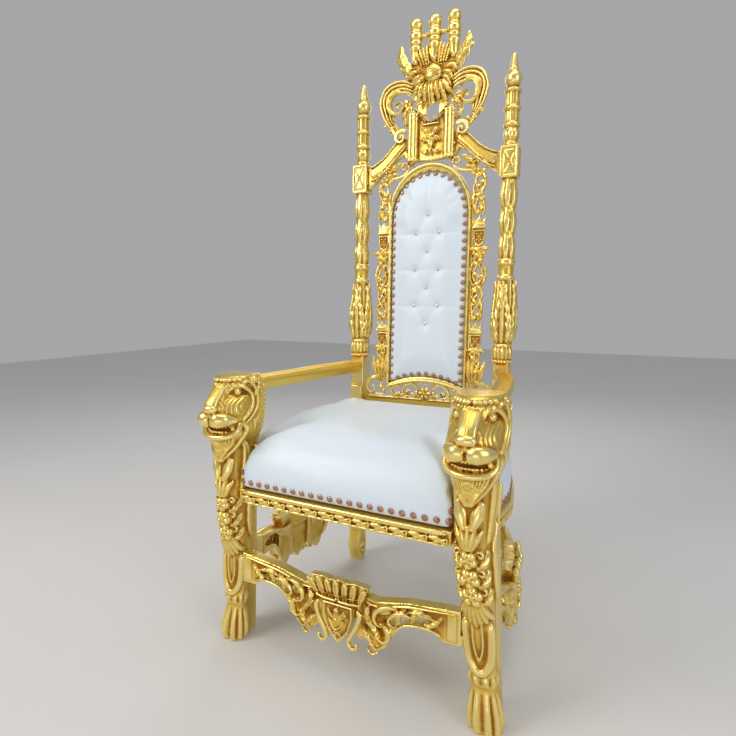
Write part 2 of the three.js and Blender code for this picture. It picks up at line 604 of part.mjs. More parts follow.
// The plume of leaves and scrolls round the helmet, with a big C-scroll on each side.
function mantling() {
  const half = [[0, 1512], [40, 1532], [64, 1536], [88, 1552], [80, 1596], [104, 1626], [110, 1664], [136, 1712], [126, 1730],
    [112, 1760], [98, 1732], [84, 1744], [66, 1752], [44, 1742], [24, 1758], [0, 1764]];
  const scroll = band(route([[140, -4, 1488], [170, -8, 1530], [181, -8, 1586], [160, -8, 1632], [126, -8, 1640],
    [94, -8, 1610], [92, -8, 1566], [116, -10, 1536], [140, -12, 1554], [132, -14, 1580]]), 8, (t) => mix(14, 9, t), 14);
  const plume = leaf([58, -6, 1650], [114, -14, 1752], 24, 15, 6);
  const helmet = [lump(0, -12, 1640, 34, 26, 46, 8, 5), board(outlineOf([[-46, 1644], [0, 1632], [46, 1644], [30, 1664],
    [-30, 1664]]), -34, 0)];
  return [board(evenOutline(half), -12, 12), ...bothSides([scroll, plume]), leaf([0, -10, 1684], [0, -14, 1776], 24, 16),
    ...helmet];
}

// A bar with three pinnacles at the very top.
const pinnacles = () =>
  board(evenOutline([[0, 1742], [64, 1746], [76, 1770], [70, 1784], [70, 1800], [63, CREST_TOP], [56, 1800], [54, 1782],
    [12, 1786], [7, 1802], [0, CREST_TOP]]), -9, 9);

addPiece(back, "crest", [...swanNeckRail(), shieldPanel(), ...mantling(), pinnacles()].map(leaned));

// ---------------------------------------------------------------- seat cushion
// The domed seat fills the frame between the legs and swells out to the bowed sides behind them.
function seatCushion() {
  const inner = HEAD_X - LEG_HALF - 1;
  const [low, high] = [RAIL_TOP + GAP, SEAT_TOP - 14];
  const soft = 22;
  const half = [[0, RAIL_FACE + 4], [inner, RAIL_FACE + 4], [inner, STILE_BACK + 1], ...[STILE_BACK + 1, 130, 200, 300, 400, 500]
    .map((y) => [seatHalf(y), y]), [SEAT_SIDE_BACK, SEAT_BACK], [0, SEAT_BACK]];
  const shape = new THREE.ExtrudeGeometry(evenOutline(half), {
    depth: high - low - soft,
    bevelThickness: soft,
    bevelSize: soft,
    bevelOffset: -soft,
    bevelSegments: 2,
  });
  const body = solid(moved(shape, 0, 0, low)).intersect(solid(block(-500, 500, -100, 700, low, high + 1)));
  const crown = moved(new THREE.SphereGeometry(1, 14, 6).rotateX(Math.PI / 2).scale(250, 230, 40), 0, 260, SEAT_TOP - 40);
  const underMane = [-1, 1].map((side) =>
    solid(block(-50, 50, -100, STILE_BACK + 1, 526, 700).translate(side * (HEAD_X - MANE_HALF - 2 + 50), 0, 0)));
  return body.add(solid(crown)).subtract(underMane[0].add(underMane[1]));
}
addPiece(front, "seat_cushion", [seatCushion()], leatherette());

// Where everything sits: the origin is under the middle of the throne's box.
const box = new THREE.Box3().setFromObject(throne);
throne.position.y = -(box.min.y + box.max.y) / 2;

export default throne;
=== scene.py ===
# %% [markdown]
# # A carved and gilded lion throne
# A tall ceremonial armchair. Two lion-headed legs carry the arms at the front, two turned posts rise to
# spired finials at the back, and between them an arched upholstered back sits in pierced carving under a
# crowned crest. Its plain solids are already packed as a frame; this lesson carves, gilds and upholsters
# them.

import json
import math

import bpy
import numpy as np
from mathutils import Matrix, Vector

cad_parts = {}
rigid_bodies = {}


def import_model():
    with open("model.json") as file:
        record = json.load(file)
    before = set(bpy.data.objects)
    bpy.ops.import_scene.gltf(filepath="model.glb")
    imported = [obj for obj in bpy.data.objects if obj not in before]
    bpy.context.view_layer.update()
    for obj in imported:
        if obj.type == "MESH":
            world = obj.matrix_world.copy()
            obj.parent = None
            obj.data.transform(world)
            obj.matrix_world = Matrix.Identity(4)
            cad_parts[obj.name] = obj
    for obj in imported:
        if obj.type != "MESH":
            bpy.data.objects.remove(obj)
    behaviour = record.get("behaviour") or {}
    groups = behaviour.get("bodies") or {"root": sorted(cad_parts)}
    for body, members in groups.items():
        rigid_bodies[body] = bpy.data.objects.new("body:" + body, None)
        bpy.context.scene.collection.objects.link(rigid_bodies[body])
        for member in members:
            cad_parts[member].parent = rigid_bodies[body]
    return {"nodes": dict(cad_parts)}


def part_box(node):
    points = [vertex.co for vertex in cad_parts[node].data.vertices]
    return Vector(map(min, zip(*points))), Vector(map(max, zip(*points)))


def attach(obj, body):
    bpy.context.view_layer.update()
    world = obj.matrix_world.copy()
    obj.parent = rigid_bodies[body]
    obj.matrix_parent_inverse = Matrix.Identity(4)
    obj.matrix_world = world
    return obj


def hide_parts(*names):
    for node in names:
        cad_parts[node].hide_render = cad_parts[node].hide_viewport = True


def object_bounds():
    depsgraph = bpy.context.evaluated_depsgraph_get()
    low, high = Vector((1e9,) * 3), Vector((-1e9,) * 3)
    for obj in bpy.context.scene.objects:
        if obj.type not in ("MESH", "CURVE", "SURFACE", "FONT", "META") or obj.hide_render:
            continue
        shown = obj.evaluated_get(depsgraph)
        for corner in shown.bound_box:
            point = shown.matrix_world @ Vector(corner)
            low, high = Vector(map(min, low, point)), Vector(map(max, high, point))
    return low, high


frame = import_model()
cad_low, cad_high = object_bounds()
bpy.ops.object.select_all(action="DESELECT")
print("solids:", len(frame["nodes"]), "height", round(cad_high.z, 3))

# %% [markdown]
# A carver works from a few lines: the floor, the middle of the chair, and the line through the front paws.
# All sizes below are millimetres from those lines, with x to the right, y towards the back and z up. The
# back leans, so whatever belongs to it is drawn upright about the middle of the back and then leaned with
# one rule.

# %% Work lines
MM = 0.001
RAIL_FACE = -35  # front of the front rail
paw_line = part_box("front_rail")[0].y - RAIL_FACE * MM
BACK_Y = 563  # middle plane of the back, at the floor
LEAN = 0.0343  # how far the back leans for each millimetre of height
POST_X = 249
HEAD_X = 322  # a lion's head, from the middle of the chair
SPLAY = 0.08
SPLAY_TOP = 430  # below this height a front leg splays outwards


def leg_x(z):
    """Distance from the middle to the centre of a front leg: it splays out below the seat."""
    return HEAD_X + SPLAY * np.maximum(0, SPLAY_TOP - z)


print("paw line at y", round(paw_line, 4))

# %% [markdown]
# Every piece of carving here is a closed shell: a list of points and the faces between them. Shells may run
# into each other, as lumps of clay do, because they are melted together afterwards. A shell is most easily
# made from rings of points, each ring joined to the next, with the two ends closed.

# %% Shells from rings
FRONT = (0, -1, 0)


def skin(rings):
    """A closed shell through rings, an array of ring x point x coordinate."""
    steps, around = rings.shape[:2]
    i, j = np.meshgrid(np.arange(steps - 1), np.arange(around), indexing="ij")
    a = i * around + j
    b = i * around + (j + 1) % around
    quads = np.stack([a, b, b + around, a + around], -1).reshape(-1, 4).tolist()
    first = list(range(around))[::-1]
    last = list(range((steps - 1) * around, steps * around))
    return rings.reshape(-1, 3), [*quads, first, last]


def moved(shell, dx=0, dy=0, dz=0):
    return shell[0] + (dx, dy, dz), shell[1]


def mirrored(shell):
    return shell[0] * (-1, 1, 1), [face[::-1] for face in shell[1]]


def both(shells):
    """The shells and their mirror images on the other side of the middle."""
    return [*shells, *(mirrored(s) for s in shells)]


def leaned(shell):
    v = shell[0]
    return np.stack([v[:, 0], v[:, 1] + BACK_Y + LEAN * v[:, 2], v[:, 2]], 1), shell[1]


def splayed(shell):
    v = shell[0]
    return np.stack([v[:, 0] + leg_x(v[:, 2]), v[:, 1], v[:, 2]], 1), shell[1]
print("faces of a six-sided tube with five rings:", len(skin(np.zeros((5, 6, 3)))[1]))

# %% [markdown]
# Most ornament on the throne is a stroke of the gouge: a ribbed band or a leaf that follows a line, swells,
# and tapers to its ends. One function draws all of them. Ribs are grooves along the stroke, lobes cut a
# leaf's edge into teeth, and each lobe gets its own vein.

# %% Smooth lines
def smooth(points, n):
    """n evenly spread points on a smooth curve through the given ones."""
    p = np.asarray(points, float)
    far = np.r_[0, np.cumsum(np.linalg.norm(np.diff(p, axis=0), axis=1))]
    ends = np.vstack([2 * p[0] - p[1], p, 2 * p[-1] - p[-2]])
    u = np.interp(np.linspace(0, far[-1], n), far, np.arange(len(p)))
    k = np.minimum(u.astype(int), len(p) - 2)
    f = (u - k)[:, None]
    a, b, c, d = ends[k], ends[k + 1], ends[k + 2], ends[k + 3]
    return 0.5 * (2 * b + (c - a) * f + (2 * a - 5 * b + 4 * c - d) * f**2 + (3 * b - a - 3 * c + d) * f**3)


def along(values, t):
    """A number, or a list of numbers spread evenly along a stroke."""
    v = np.atleast_1d(np.asarray(values, float))
    return np.interp(t, np.linspace(0, 1, len(v)), v)


def unit(v):
    return v / np.maximum(np.linalg.norm(v, axis=-1, keepdims=True), 1e-9)


print("points on a smooth line:", len(smooth([(0, 0, 0), (10, 0, 5), (20, 0, 0)], 12)))

# %% Strokes
STROKE_STEP = 2.5  # millimetres between the rings of a stroke
TIP = 0.05  # share of its length over which a stroke draws to a point
TOOTH = 0.36  # how deep lobes cut into the edge
VEIN = 0.18


def stroke(points, width, height, ribs=0, lobes=0, facing=FRONT, back=0.7, around=16, groove=0.16):
    """A carved band through points, half as wide as width says and standing height proud of them."""
    length = np.linalg.norm(np.diff(np.asarray(points, float), axis=0), axis=1).sum()
    n = int(max(10, length / STROKE_STEP, 9 * lobes))
    path = smooth(points, n)
    t = np.linspace(0, 1, n)
    ahead = unit(np.gradient(path, axis=0))
    across = unit(np.cross(ahead, np.asarray(facing, float)))
    lift = unit(np.cross(across, ahead))
    tip = np.sqrt(np.clip(np.minimum(t, 1 - t) / TIP, 0.02, 1))
    angle = np.linspace(0, 2 * np.pi, around, endpoint=False)[None, :]
    s, u = np.cos(angle), np.sin(angle)
    w = (along(width, t) * tip)[:, None]
    h = (along(height, t) * tip)[:, None]
    edge = np.ones((n, around))
    rise = np.ones((n, around))
    if lobes:
        tooth = (lobes * t[:, None]) % 1
        edge = 1 - TOOTH * np.abs(s) ** 2 * (1 - np.sqrt(np.abs(np.sin(np.pi * tooth))))
        rise = 1 - groove * (0.5 + 0.5 * np.cos(2 * np.pi * (lobes * t[:, None] - 0.7 * np.abs(s))))
        rise = rise * (1 - 0.25 * np.abs(s)) + VEIN * np.exp(-((s / 0.16) ** 2))
    if ribs:
        rise = rise * (1 - groove * (0.5 + 0.5 * np.cos(ribs * np.pi * s + np.pi * (ribs % 2))))
    up = np.where(u > 0, np.abs(u) ** 0.75 * rise, -back * np.abs(u))
    sideways = across[:, None, :] * (s * w * edge)[..., None]
    outwards = lift[:, None, :] * (up * h)[..., None]
    rings = path[:, None, :] + sideways + outwards
    return skin(rings)


print("rings in a 50 mm stroke:", len(stroke([(0, 0, 0), (50, 0, 0)], 4, 4)[0]) // 16)

# %% Spirals
def volute(x, y, z, outer, inner, start, turns, n=14):
    """Points of a spiral from its outer end to its eye; angles in degrees, turns negative for clockwise."""
    t = np.linspace(0, 1, n)
    angle = math.radians(start) + 2 * np.pi * turns * t
    r = outer + (inner - outer) * t**0.85
    return np.stack([x + r * np.cos(angle), y + 0 * t, z + r * np.sin(angle)], 1).tolist()


print("a spiral from 20 to", round(math.hypot(*volute(0, 0, 0, 20, 4, 0, 1)[-1]), 1), "mm from its eye")

# %% [markdown]
# The rest of the ornament is round or flat: balls and eyes, flowers, shields with a raised rim, boards cut
# to an outline, and turned work. A dish is a shape drawn from its middle outwards, which suits flowers and
# shields.

# %% Balls and dishes
def ball(x, y, z, rx, ry=None, rz=None, sides=16, rings=10):
    ry = rx if ry is None else ry
    rz = rx if rz is None else rz
    a = np.linspace(0.04, np.pi - 0.04, rings)[:, None]
    b = np.linspace(0, 2 * np.pi, sides, endpoint=False)[None, :]
    p = np.stack([np.sin(a) * np.cos(b), np.sin(a) * np.sin(b), np.cos(a) + 0 * b], -1)
    return skin(p * (rx, ry, rz) + (x, y, z))


def dish(x, y, z, reach, rise, back=6, rings=12, around=72):
    """A closed plate facing the front: reach(angle) is its outline and rise(rho, angle) its height."""
    a = np.linspace(0, 2 * np.pi, around, endpoint=False)[None, :]
    rho = np.linspace(0.04, 1, rings)[:, None]
    r = rho * reach(a)
    front = np.stack([x + r * np.cos(a), y - rise(rho, a) + 0 * r, z + r * np.sin(a)], -1)
    rear = front[-1:].copy()
    rear[..., 1] = y + back
    return skin(np.concatenate([front, rear]))


print("points of a ball:", len(ball(0, 0, 0, 5)[0]))

# %% Flowers
def flower(x, y, z, r, height, petals=6, turn=0.0):
    """An open flower with cupped petals round a domed eye."""

    def reach(a):
        return r * (0.72 + 0.28 * np.abs(np.cos(petals * (a + turn) / 2)) ** 0.6)

    def rise(rho, a):
        petal = np.abs(np.cos(petals * (a + turn) / 2)) ** 0.5
        cup = height * (0.35 + 0.65 * np.sin(np.pi * np.clip(rho, 0, 1) ** 1.2)) * (0.45 + 0.55 * petal)
        return cup + 0.55 * height * np.exp(-((rho / 0.26) ** 4))

    return dish(x, y, z, reach, rise)


print("points of a flower:", len(flower(0, 0, 0, 20, 8)[0]))

# %% [markdown]
# A shield is a dish too: its reach is the distance to the outline at each angle, and its height a rim round
# a slightly domed field.

# %% Shields with a rim
def reach_of(outline, x, z):
    """How far an outline, given as corners, lies from (x, z) at any angle."""
    p = np.asarray(outline, float) - (x, z)
    q = np.roll(p, -1, axis=0)

    def reach(a):
        d = np.stack([np.cos(a), np.sin(a)], -1)
        best = np.zeros(a.shape)
        for (px, pz), (qx, qz) in zip(p, q):
            ex, ez = qx - px, qz - pz
            cross = d[..., 0] * ez - d[..., 1] * ex
            cross = np.where(np.abs(cross) < 1e-9, 1e-9, cross)
            far = (px * ez - pz * ex) / cross
            part = (px * d[..., 1] - pz * d[..., 0]) / cross
            best = np.where((part >= -1e-6) & (part <= 1 + 1e-6) & (far > best), far, best)
        return best

    return reach


def rimmed(outline, x, y, z, rim=4.0, dome=3.0, back=8, edge=0.82):
    """A shield-like plate with a raised rim and a slightly domed field."""

    def rise(rho, a):
        return rim * np.exp(-(((rho - (edge + 1) / 2) / (1 - edge)) ** 4)) + dome * (1 - rho**2) + 0 * a

    return dish(x, y, z, reach_of(outline, x, z), rise, back, rings=18, around=120)


SQUARE = [(-10, -10), (10, -10), (10, 10), (-10, 10)]
print("points of a rimmed square:", len(rimmed(SQUARE, 0, 0, 0)[0]))

# %% [markdown]
# Pierced carving is sawn from a board first and modelled after, so a board cut to an outline backs most of
# it.

# %% Boards and blocks
def board(outline, front, rear):
    """A flat board cut to an outline, with its faces at y = front and y = rear."""
    p = np.asarray(outline, float)
    n = len(p)
    sheets = [np.stack([p[:, 0], np.full(n, y), p[:, 1]], 1) for y in (front, rear)]
    sides = [[i, (i + 1) % n, n + (i + 1) % n, n + i] for i in range(n)]
    return np.vstack(sheets), [*sides, list(range(n))[::-1], list(range(n, 2 * n))]


def even(half):
    """A full outline from its right-hand half, bottom middle to top middle."""
    return [*half, *([-x, z] for x, z in half[-2:0:-1])]


def block(x0, x1, y0, y1, z0, z1):
    return board([[x0, z0], [x1, z0], [x1, z1], [x0, z1]], y0, y1)


print("corners of an even outline:", len(even([[0, 0], [5, 2], [0, 9]])))

# %% [markdown]
# A turner works to a profile: a list of heights with the radius at each.

# %% Turned work
def turned(profile, x=0, y=0, sides=36, shape=None, step=2.0):
    """Turned work on an upright axis from [height, radius] stations; shape(z, angle) may flute or reed it."""
    st = np.asarray(profile, float)
    z = np.unique(np.concatenate([st[:, 0], np.arange(st[0, 0], st[-1, 0], step)]))[:, None]
    a = np.linspace(0, 2 * np.pi, sides, endpoint=False)[None, :]
    r = np.interp(z, st[:, 0], st[:, 1]) * (1 if shape is None else shape(z, a))
    r = np.maximum(r, 0.3)
    return skin(np.stack(np.broadcast_arrays(x + r * np.cos(a), y + r * np.sin(a), z), -1))


print("points of a turned peg:", len(turned([[0, 5], [10, 4]])[0]))

# %% [markdown]
# Gold leaf is laid over a reddish ground and burnished on the high places. The hollows of carving are
# coloured orange-brown, partly for the ground and partly as painted shade, and the crests pale yellow, partly
# for the burnish and partly as a painted highlight. The shader needs to know which is which, so each carved
# mesh
# carries two measurements per point: hollow (how far the point lies below its smoothed surroundings) and
# crease (how sharply the surface turns in right there).

# %% Measure hollows
def read_points(mesh, what):
    """The co or the normal of every point, as an array."""
    values = np.empty(len(mesh.vertices) * 3, np.float32)
    mesh.vertices.foreach_get(what, values)
    return values.reshape(-1, 3)


def put_points(obj, points):
    obj.data.vertices.foreach_set("co", points.astype(np.float32).ravel())
    obj.data.update()


def neighbours(mesh):
    e = np.empty(len(mesh.edges) * 2, np.int32)
    mesh.edges.foreach_get("vertices", e)
    e = e.reshape(-1, 2)
    a = np.concatenate([e[:, 0], e[:, 1]])
    b = np.concatenate([e[:, 1], e[:, 0]])
    return a, b, np.maximum(np.bincount(a, minlength=len(mesh.vertices)), 1)


def averaged(values, a, b, count):
    return np.bincount(a, weights=values[b], minlength=len(values)) / count


CREASE_ROUNDS = 3  # rounds of smoothing that show a sharp crease
HOLLOW_ROUNDS = 14  # rounds that show a wide hollow
CREASE_DEPTH = 0.45  # millimetres that count as fully in, and as fully out
HOLLOW_DEPTH = 1.6


def measure_hollows(obj):
    mesh = obj.data
    co, no = read_points(mesh, "co").astype(float), read_points(mesh, "normal").astype(float)
    a, b, count = neighbours(mesh)
    flat = co.copy()
    depth = {}
    for k in range(1, HOLLOW_ROUNDS + 1):
        flat = np.stack([averaged(flat[:, i], a, b, count) for i in range(3)], 1)
        if k in (CREASE_ROUNDS, HOLLOW_ROUNDS):
            depth[k] = np.einsum("ij,ij->i", flat - co, no) / MM
    for name, rounds, scale in (("crease", CREASE_ROUNDS, CREASE_DEPTH),
                                ("hollow", HOLLOW_ROUNDS, HOLLOW_DEPTH)):
        level = np.clip(0.5 + 0.5 * depth[rounds] / scale, 0, 1)
        for _ in range(2):
            level = averaged(level, a, b, count)
        layer = mesh.attributes.new(name, "FLOAT", "POINT")
        layer.data.foreach_set("value", level.astype(np.float32))


print("hollows are measured by", HOLLOW_ROUNDS, "rounds of smoothing")

# %% [markdown]
# Melting shells together: the points go into one mesh, Blender's voxel remesh wraps them in a single skin
# as a wooden piece has, a light smoothing takes off the voxel steps, and a decimate keeps flat places
# cheap.

# %% Raw meshes
made = {}


def active(obj):
    bpy.ops.object.select_all(action="DESELECT")
    obj.select_set(True)
    bpy.context.view_layer.objects.active = obj


def apply_modifier(obj, kind, **settings):
    active(obj)
    modifier = obj.modifiers.new(kind.lower(), kind)
    for key, value in settings.items():
        setattr(modifier, key, value)
    bpy.ops.object.modifier_apply(modifier=modifier.name)


def raw_mesh(name, shells):
    verts = np.vstack([v for v, _ in shells]) * MM + (0, paw_line, 0)
    faces, base = [], 0
    for v, f in shells:
        faces += [[i + base for i in face] for face in f]
        base += len(v)
    mesh = bpy.data.meshes.new(name)
    mesh.from_pydata(verts.tolist(), [], faces)
    obj = bpy.data.objects.new(name, mesh)
    bpy.context.collection.objects.link(obj)
    return obj


print("pieces so far:", len(made))

# %% [markdown]
# The whole throne is one stiff body, so every piece rides on the root. Each says which finish it takes, and
# which plain solid it stands for.

# %% Settle on the body
def settle(obj, node, slot="gilding"):
    """Rides on the one body, takes its finish from a slot and stands for its solid."""
    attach(obj, "root")
    if node:
        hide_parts(node)
    obj.data.materials.clear()
    made[obj.name] = slot


print("slots in use:", sorted(set(made.values())))

# %% [markdown]
# Drawn bands come out thinner than cut wood, so the pierced work is first pushed out a little along its
# normals. The voxel size sets how fine the carving is: about two millimetres is a small gouge.

# %% Carve one piece
MARGIN = 0.0005  # metres kept inside the size of the solids


def fatten(obj, swell):
    """Pushes every shell out by swell millimetres, so that thin bands gain the body of cut wood."""
    co, no = read_points(obj.data, "co"), read_points(obj.data, "normal")
    low, high = np.array(cad_low[:]) + MARGIN, np.array(cad_high[:]) - MARGIN
    put_points(obj, np.clip(co + no * swell * MM, low, high))


def carved(name, shells, node, voxel=2.2, most=90000, soften=2, swell=0.0):
    obj = raw_mesh(name, shells)
    if swell:
        fatten(obj, swell)
    active(obj)
    obj.data.remesh_voxel_size = voxel * MM * 1
    bpy.ops.object.voxel_remesh()
    apply_modifier(obj, "SMOOTH", factor=0.5, iterations=soften)
    triangles = 2 * len(obj.data.polygons)
    measure_hollows(obj)
    if triangles > most:
        apply_modifier(obj, "DECIMATE", ratio=most / triangles)
    obj.data.shade_smooth()
    settle(obj, node)
    print(name, "triangles", triangles, "kept", min(triangles, most))
    return obj


print("carving stays", round(MARGIN / MM, 1), "mm inside the size of the solids")

# %% [markdown]
# The throne is the same on both sides, so a left-hand piece is the mirror image of the right-hand one.

# %% The other side
def other_side(obj, name, node):
    """The mirror image of a right-hand piece, with its own mesh."""
    mesh = obj.data.copy()
    mesh.vertices.foreach_set("co", (read_points(mesh, "co") * (-1, 1, 1)).ravel())
    mesh.flip_normals()
    twin = bpy.data.objects.new(name, mesh)
    bpy.context.collection.objects.link(twin)
    settle(twin, node)


print("mirroring turns the faces over, so their normals are flipped back")

# %% [markdown]
# ## The lion legs
# Each front leg is one tall piece of carving: a paw with fluted toes, a cuff of knuckles, a plain shin with
# a raised loop, a scalloped shell, a column of roses between leaves, and a lion's head that ends the arm.
# The limb is a tube whose radius changes with height and direction; the rest is laid on as strokes and
# balls.

# %% The limb
def stations(z, table):
    h, v = zip(*table)
    return np.interp(z, h, v)


LEG_MIDDLE = 18
LIMB_TOP = 577
LIMB_HALF = [[0, 36], [4, 40], [22, 41.5], [44, 40], [70, 35], [92, 29], [103, 29], [112, 33], [126, 35],
             [136, 31], [143, 29], [200, 31], [290, 34], [385, 37], [577, 36]]
LIMB_REACH = [[0, 7], [8, 15], [30, 17], [60, 12], [84, 4], [95, 0], [103, -2], [112, 4], [126, 8], [136, 3],
              [145, 0], [200, 3], [261, 8], [300, 16], [330, 26], [385, 39], [440, 43], [577, 43]]


def limb():
    z = np.arange(0, LIMB_TOP, 2.0)[:, None]
    a = np.linspace(-np.pi, np.pi, 120, endpoint=False)[None, :]
    half, reach = stations(z, LIMB_HALF), stations(z, LIMB_REACH)
    turn = np.degrees(np.abs(a))
    gap = np.minimum(np.minimum(turn, np.abs(turn - 40)), np.abs(turn - 80))
    depth = stations(z, [[0, 0.12], [10, 0.26], [60, 0.3], [86, 0.2], [96, 0.04], [103, 0], [600, 0]])
    toes = 1 - depth * np.exp(-((gap / 9) ** 2))
    cuff = 1 - 0.24 * np.exp(-(((z - 121) / 12) ** 4)) * np.exp(-((gap / 10) ** 2))
    k = toes * cuff
    ahead = np.cos(a) > 0
    x = k * half * np.abs(np.sin(a)) ** 0.85 * np.sign(np.sin(a))
    y = LEG_MIDDLE - np.where(ahead, k * (reach + LEG_MIDDLE) * np.abs(np.cos(a)),
                              -24 * np.abs(np.cos(a)) ** 0.7)
    return skin(np.stack(np.broadcast_arrays(x, y, z), -1))


print("points of the limb:", len(limb()[0]))

# %% Places on the limb
def on_limb(points):
    """Puts points given as (sideways, lift off the surface, height) on the front of the limb."""
    placed = []
    for x, lift, z in points:
        half, reach = stations(z, LIMB_HALF), stations(z, LIMB_REACH)
        around = math.sqrt(max(0.02, 1 - (x / half) ** 2))
        placed.append((x, LEG_MIDDLE - (reach + LEG_MIDDLE) * around - lift, z))
    return placed


print("front of the paw at 30 mm:", round(on_limb([(0, 0, 30)])[0][1], 1))

# %% [markdown]
# Two strings run down the shin and join in a loop. Over them opens a shell of seven ribs with a bead at
# each tip, and above the shell stand three roses between leaves and small spirals.

# %% Leg carving
def shin_and_shell():
    shells = [stroke(on_limb([(-27, 1, 262), (-27, 3, 215), (-24, 3, 175), (-13, 2, 150), (0, 2, 143),
                              (13, 2, 150), (24, 3, 175), (27, 3, 215), (27, 1, 262)]), 9, 8),
              stroke(on_limb([(-10, 0, 262), (-10, 1, 205), (0, 1, 172), (10, 1, 205), (10, 0, 262)]),
                     2.5, 4)]
    for i in range(-3, 4):
        low = 258 + 5 * abs(i)
        shells.append(stroke(on_limb([(i * 4, 4, 322), (i * 8, 7, 292), (i * 10.5, 4, low)]), [5, 7.5, 6.5],
                             [7, 9, 7], ribs=1, groove=0.3))
        shells.append(ball(*on_limb([(i * 10.5, 4, low)])[0], 5.5, 5, 6))
    return shells


def roses():
    shells = []
    for z, r in ((330, 23), (374, 22), (416, 20)):
        (x, y, _), = on_limb([(0, 3, z)])
        shells.append(flower(x, y, z, r, 12, petals=5, turn=0.3 * z))
        for side in (-1, 1):
            shells.append(stroke(on_limb([(side * 12, 1, z - 20), (side * 26, 4, z - 12),
                                          (side * 34, 3, z + 12)]), [7, 12, 5], 9, lobes=2, groove=0.4))
            shells.append(stroke(volute(side * 24, 0, z + 10, 10, 2, 200 if side > 0 else -20, side * -1.2),
                                 3.2, 6))
            shells[-1][0][:, 1] += y + 8
    return shells


print("pieces of shell and roses:", len(shin_and_shell()), len(roses()))

# %% [markdown]
# Over the roses the mane begins: a fan of five ribs in front and long locks up both cheeks, with a border
# of leaf and a spiral down each side of the leg.

# %% Locks and borders
def locks():
    shells = []
    for i in range(-2, 3):
        shells.append(stroke(on_limb([(i * 4, 3, 436), (i * 9, 8, 462), (i * 13, 4, 492 - 7 * abs(i))]),
                             [4, 7.5, 5], 9, ribs=1, groove=0.35))
    for side in (-1, 1):
        out = (side, -0.45, 0)
        shells += [stroke(on_limb([(side * 6, 4, 478), (side * 16, 7, 506), (side * 24, 5, 540)]), [7, 14, 9],
                          11, ribs=1, groove=0.2),
                   stroke([(side * 30, -12, 440), (side * 37, 0, 500), (side * 40, 2, 560),
                           (side * 34, -24, 592)], [6, 11, 12, 5], 9, ribs=2, facing=out, groove=0.3),
                   stroke([(side * 34, 30, 300), (side * 40, 14, 350), (side * 40, 12, 420),
                           (side * 38, 26, 480)], [5, 9, 9, 4], 8, ribs=1, facing=(side, 0, 0)),
                   stroke([(side * 36, y, z) for y, _, z in volute(22, 0, 392, 18, 4, 90, -1.4)], 4, 7,
                          facing=(side, 0, 0)),
                   stroke([(side * 36, 50, 430), (side * 40, 40, 500), (side * 44, 36, 560)], [5, 9, 6], 8,
                          ribs=2, facing=(side, 0, 0), groove=0.3)]
    return shells


leg_carving = [*shin_and_shell(), *roses(), *locks()]
print("strokes and balls on the leg:", len(leg_carving))

# %% [markdown]
# The lion is built as a modeller would in clay. First the skull, drawn as plans of the head at rising
# heights, so that the face slopes from a set-back brow down a long nose to a full muzzle; then eye sockets
# and mouth are pressed in, and nose, pads, teeth, eyes, beaded brow, cheek lobes, combed beard and the ruff
# are laid on.

# %% Plans of the lion's head
HEAD_PLANS = [
    [556, [[0, -42], [16, -38], [26, -26], [32, -10], [37, 10], [39, 30], [35, 52], [0, 60]]],
    [566, [[0, -46], [16, -42], [27, -30], [34, -12], [39, 10], [41, 30], [37, 52], [0, 60]]],
    [588, [[0, -53], [20, -50], [35, -40], [43, -24], [47, 0], [50, 26], [44, 56], [0, 60]]],
    [602, [[0, -60], [22, -58], [39, -50], [48, -35], [51, -8], [53, 24], [50, 60], [0, 62]]],
    [615, [[0, -60], [22, -58], [40, -48], [48, -29], [51, -6], [55, 26], [52, 62], [0, 62]]],
    [626, [[0, -62], [22, -62], [40, -53], [49, -34], [52, -6], [56, 27], [53, 64], [0, 62]]],
    [642, [[0, -70], [20, -73], [40, -63], [51, -40], [54, -12], [57, 28], [54, 66], [0, 62]]],
    [657, [[0, -76], [18, -76], [34, -64], [47, -40], [55, -10], [57, 28], [54, 68], [0, 62]]],
    [674, [[0, -83], [17, -79], [27, -61], [42, -38], [54, -6], [57, 28], [54, 70], [0, 62]]],
    [688, [[0, -71], [18, -67], [27, -49], [39, -29], [52, 4], [57, 30], [54, 70], [0, 62]]],
    [698, [[0, -63], [19, -59], [27, -38], [37, -18], [50, 8], [56, 32], [54, 70], [0, 62]]],
    [708, [[0, -55], [19, -51], [26, -29], [34, -10], [47, 11], [55, 32], [53, 66], [0, 62]]],
    [722, [[0, -45], [20, -42], [35, -28], [47, -12], [54, 10], [55, 32], [51, 62], [0, 62]]],
    [738, [[0, -39], [18, -34], [34, -22], [47, -5], [52, 14], [53, 34], [48, 62], [0, 62]]],
    [746, [[0, -34], [18, -29], [33, -17], [45, 0], [50, 17], [51, 36], [46, 61], [0, 62]]],
    [750, [[0, -26], [16, -21], [30, -10], [42, 6], [47, 22], [48, 38], [44, 60], [0, 60]]],
]
print("plans of the head:", len(HEAD_PLANS), "from", HEAD_PLANS[0][0], "to", HEAD_PLANS[-1][0])

# %% Press and smooth
def pressed(v, x, y, z, spread, amount):
    """Moves points near a place: amount is (sideways, back) and applies to both sides."""
    d = ((np.abs(v[:, 0]) - x) ** 2 + (v[:, 1] - y) ** 2 + (v[:, 2] - z) ** 2) / spread**2
    k = np.exp(-d)
    v[:, 0] -= np.sign(v[:, 0]) * k * amount[0]
    v[:, 1] += k * amount[1]


def closed_curve(points, steps):
    """A smooth closed curve through points, with the same number of steps between each two."""
    p = np.asarray(points, float)
    a, b, c, d = (np.roll(p, shift, axis=0)[:, None, :] for shift in (1, 0, -1, -2))
    f = (np.arange(steps) / steps)[None, :, None]
    curve = 0.5 * (2 * b + (c - a) * f + (2 * a - 5 * b + 4 * c - d) * f**2 + (3 * b - a - 3 * c + d) * f**3)
    return curve.reshape(-1, p.shape[1])


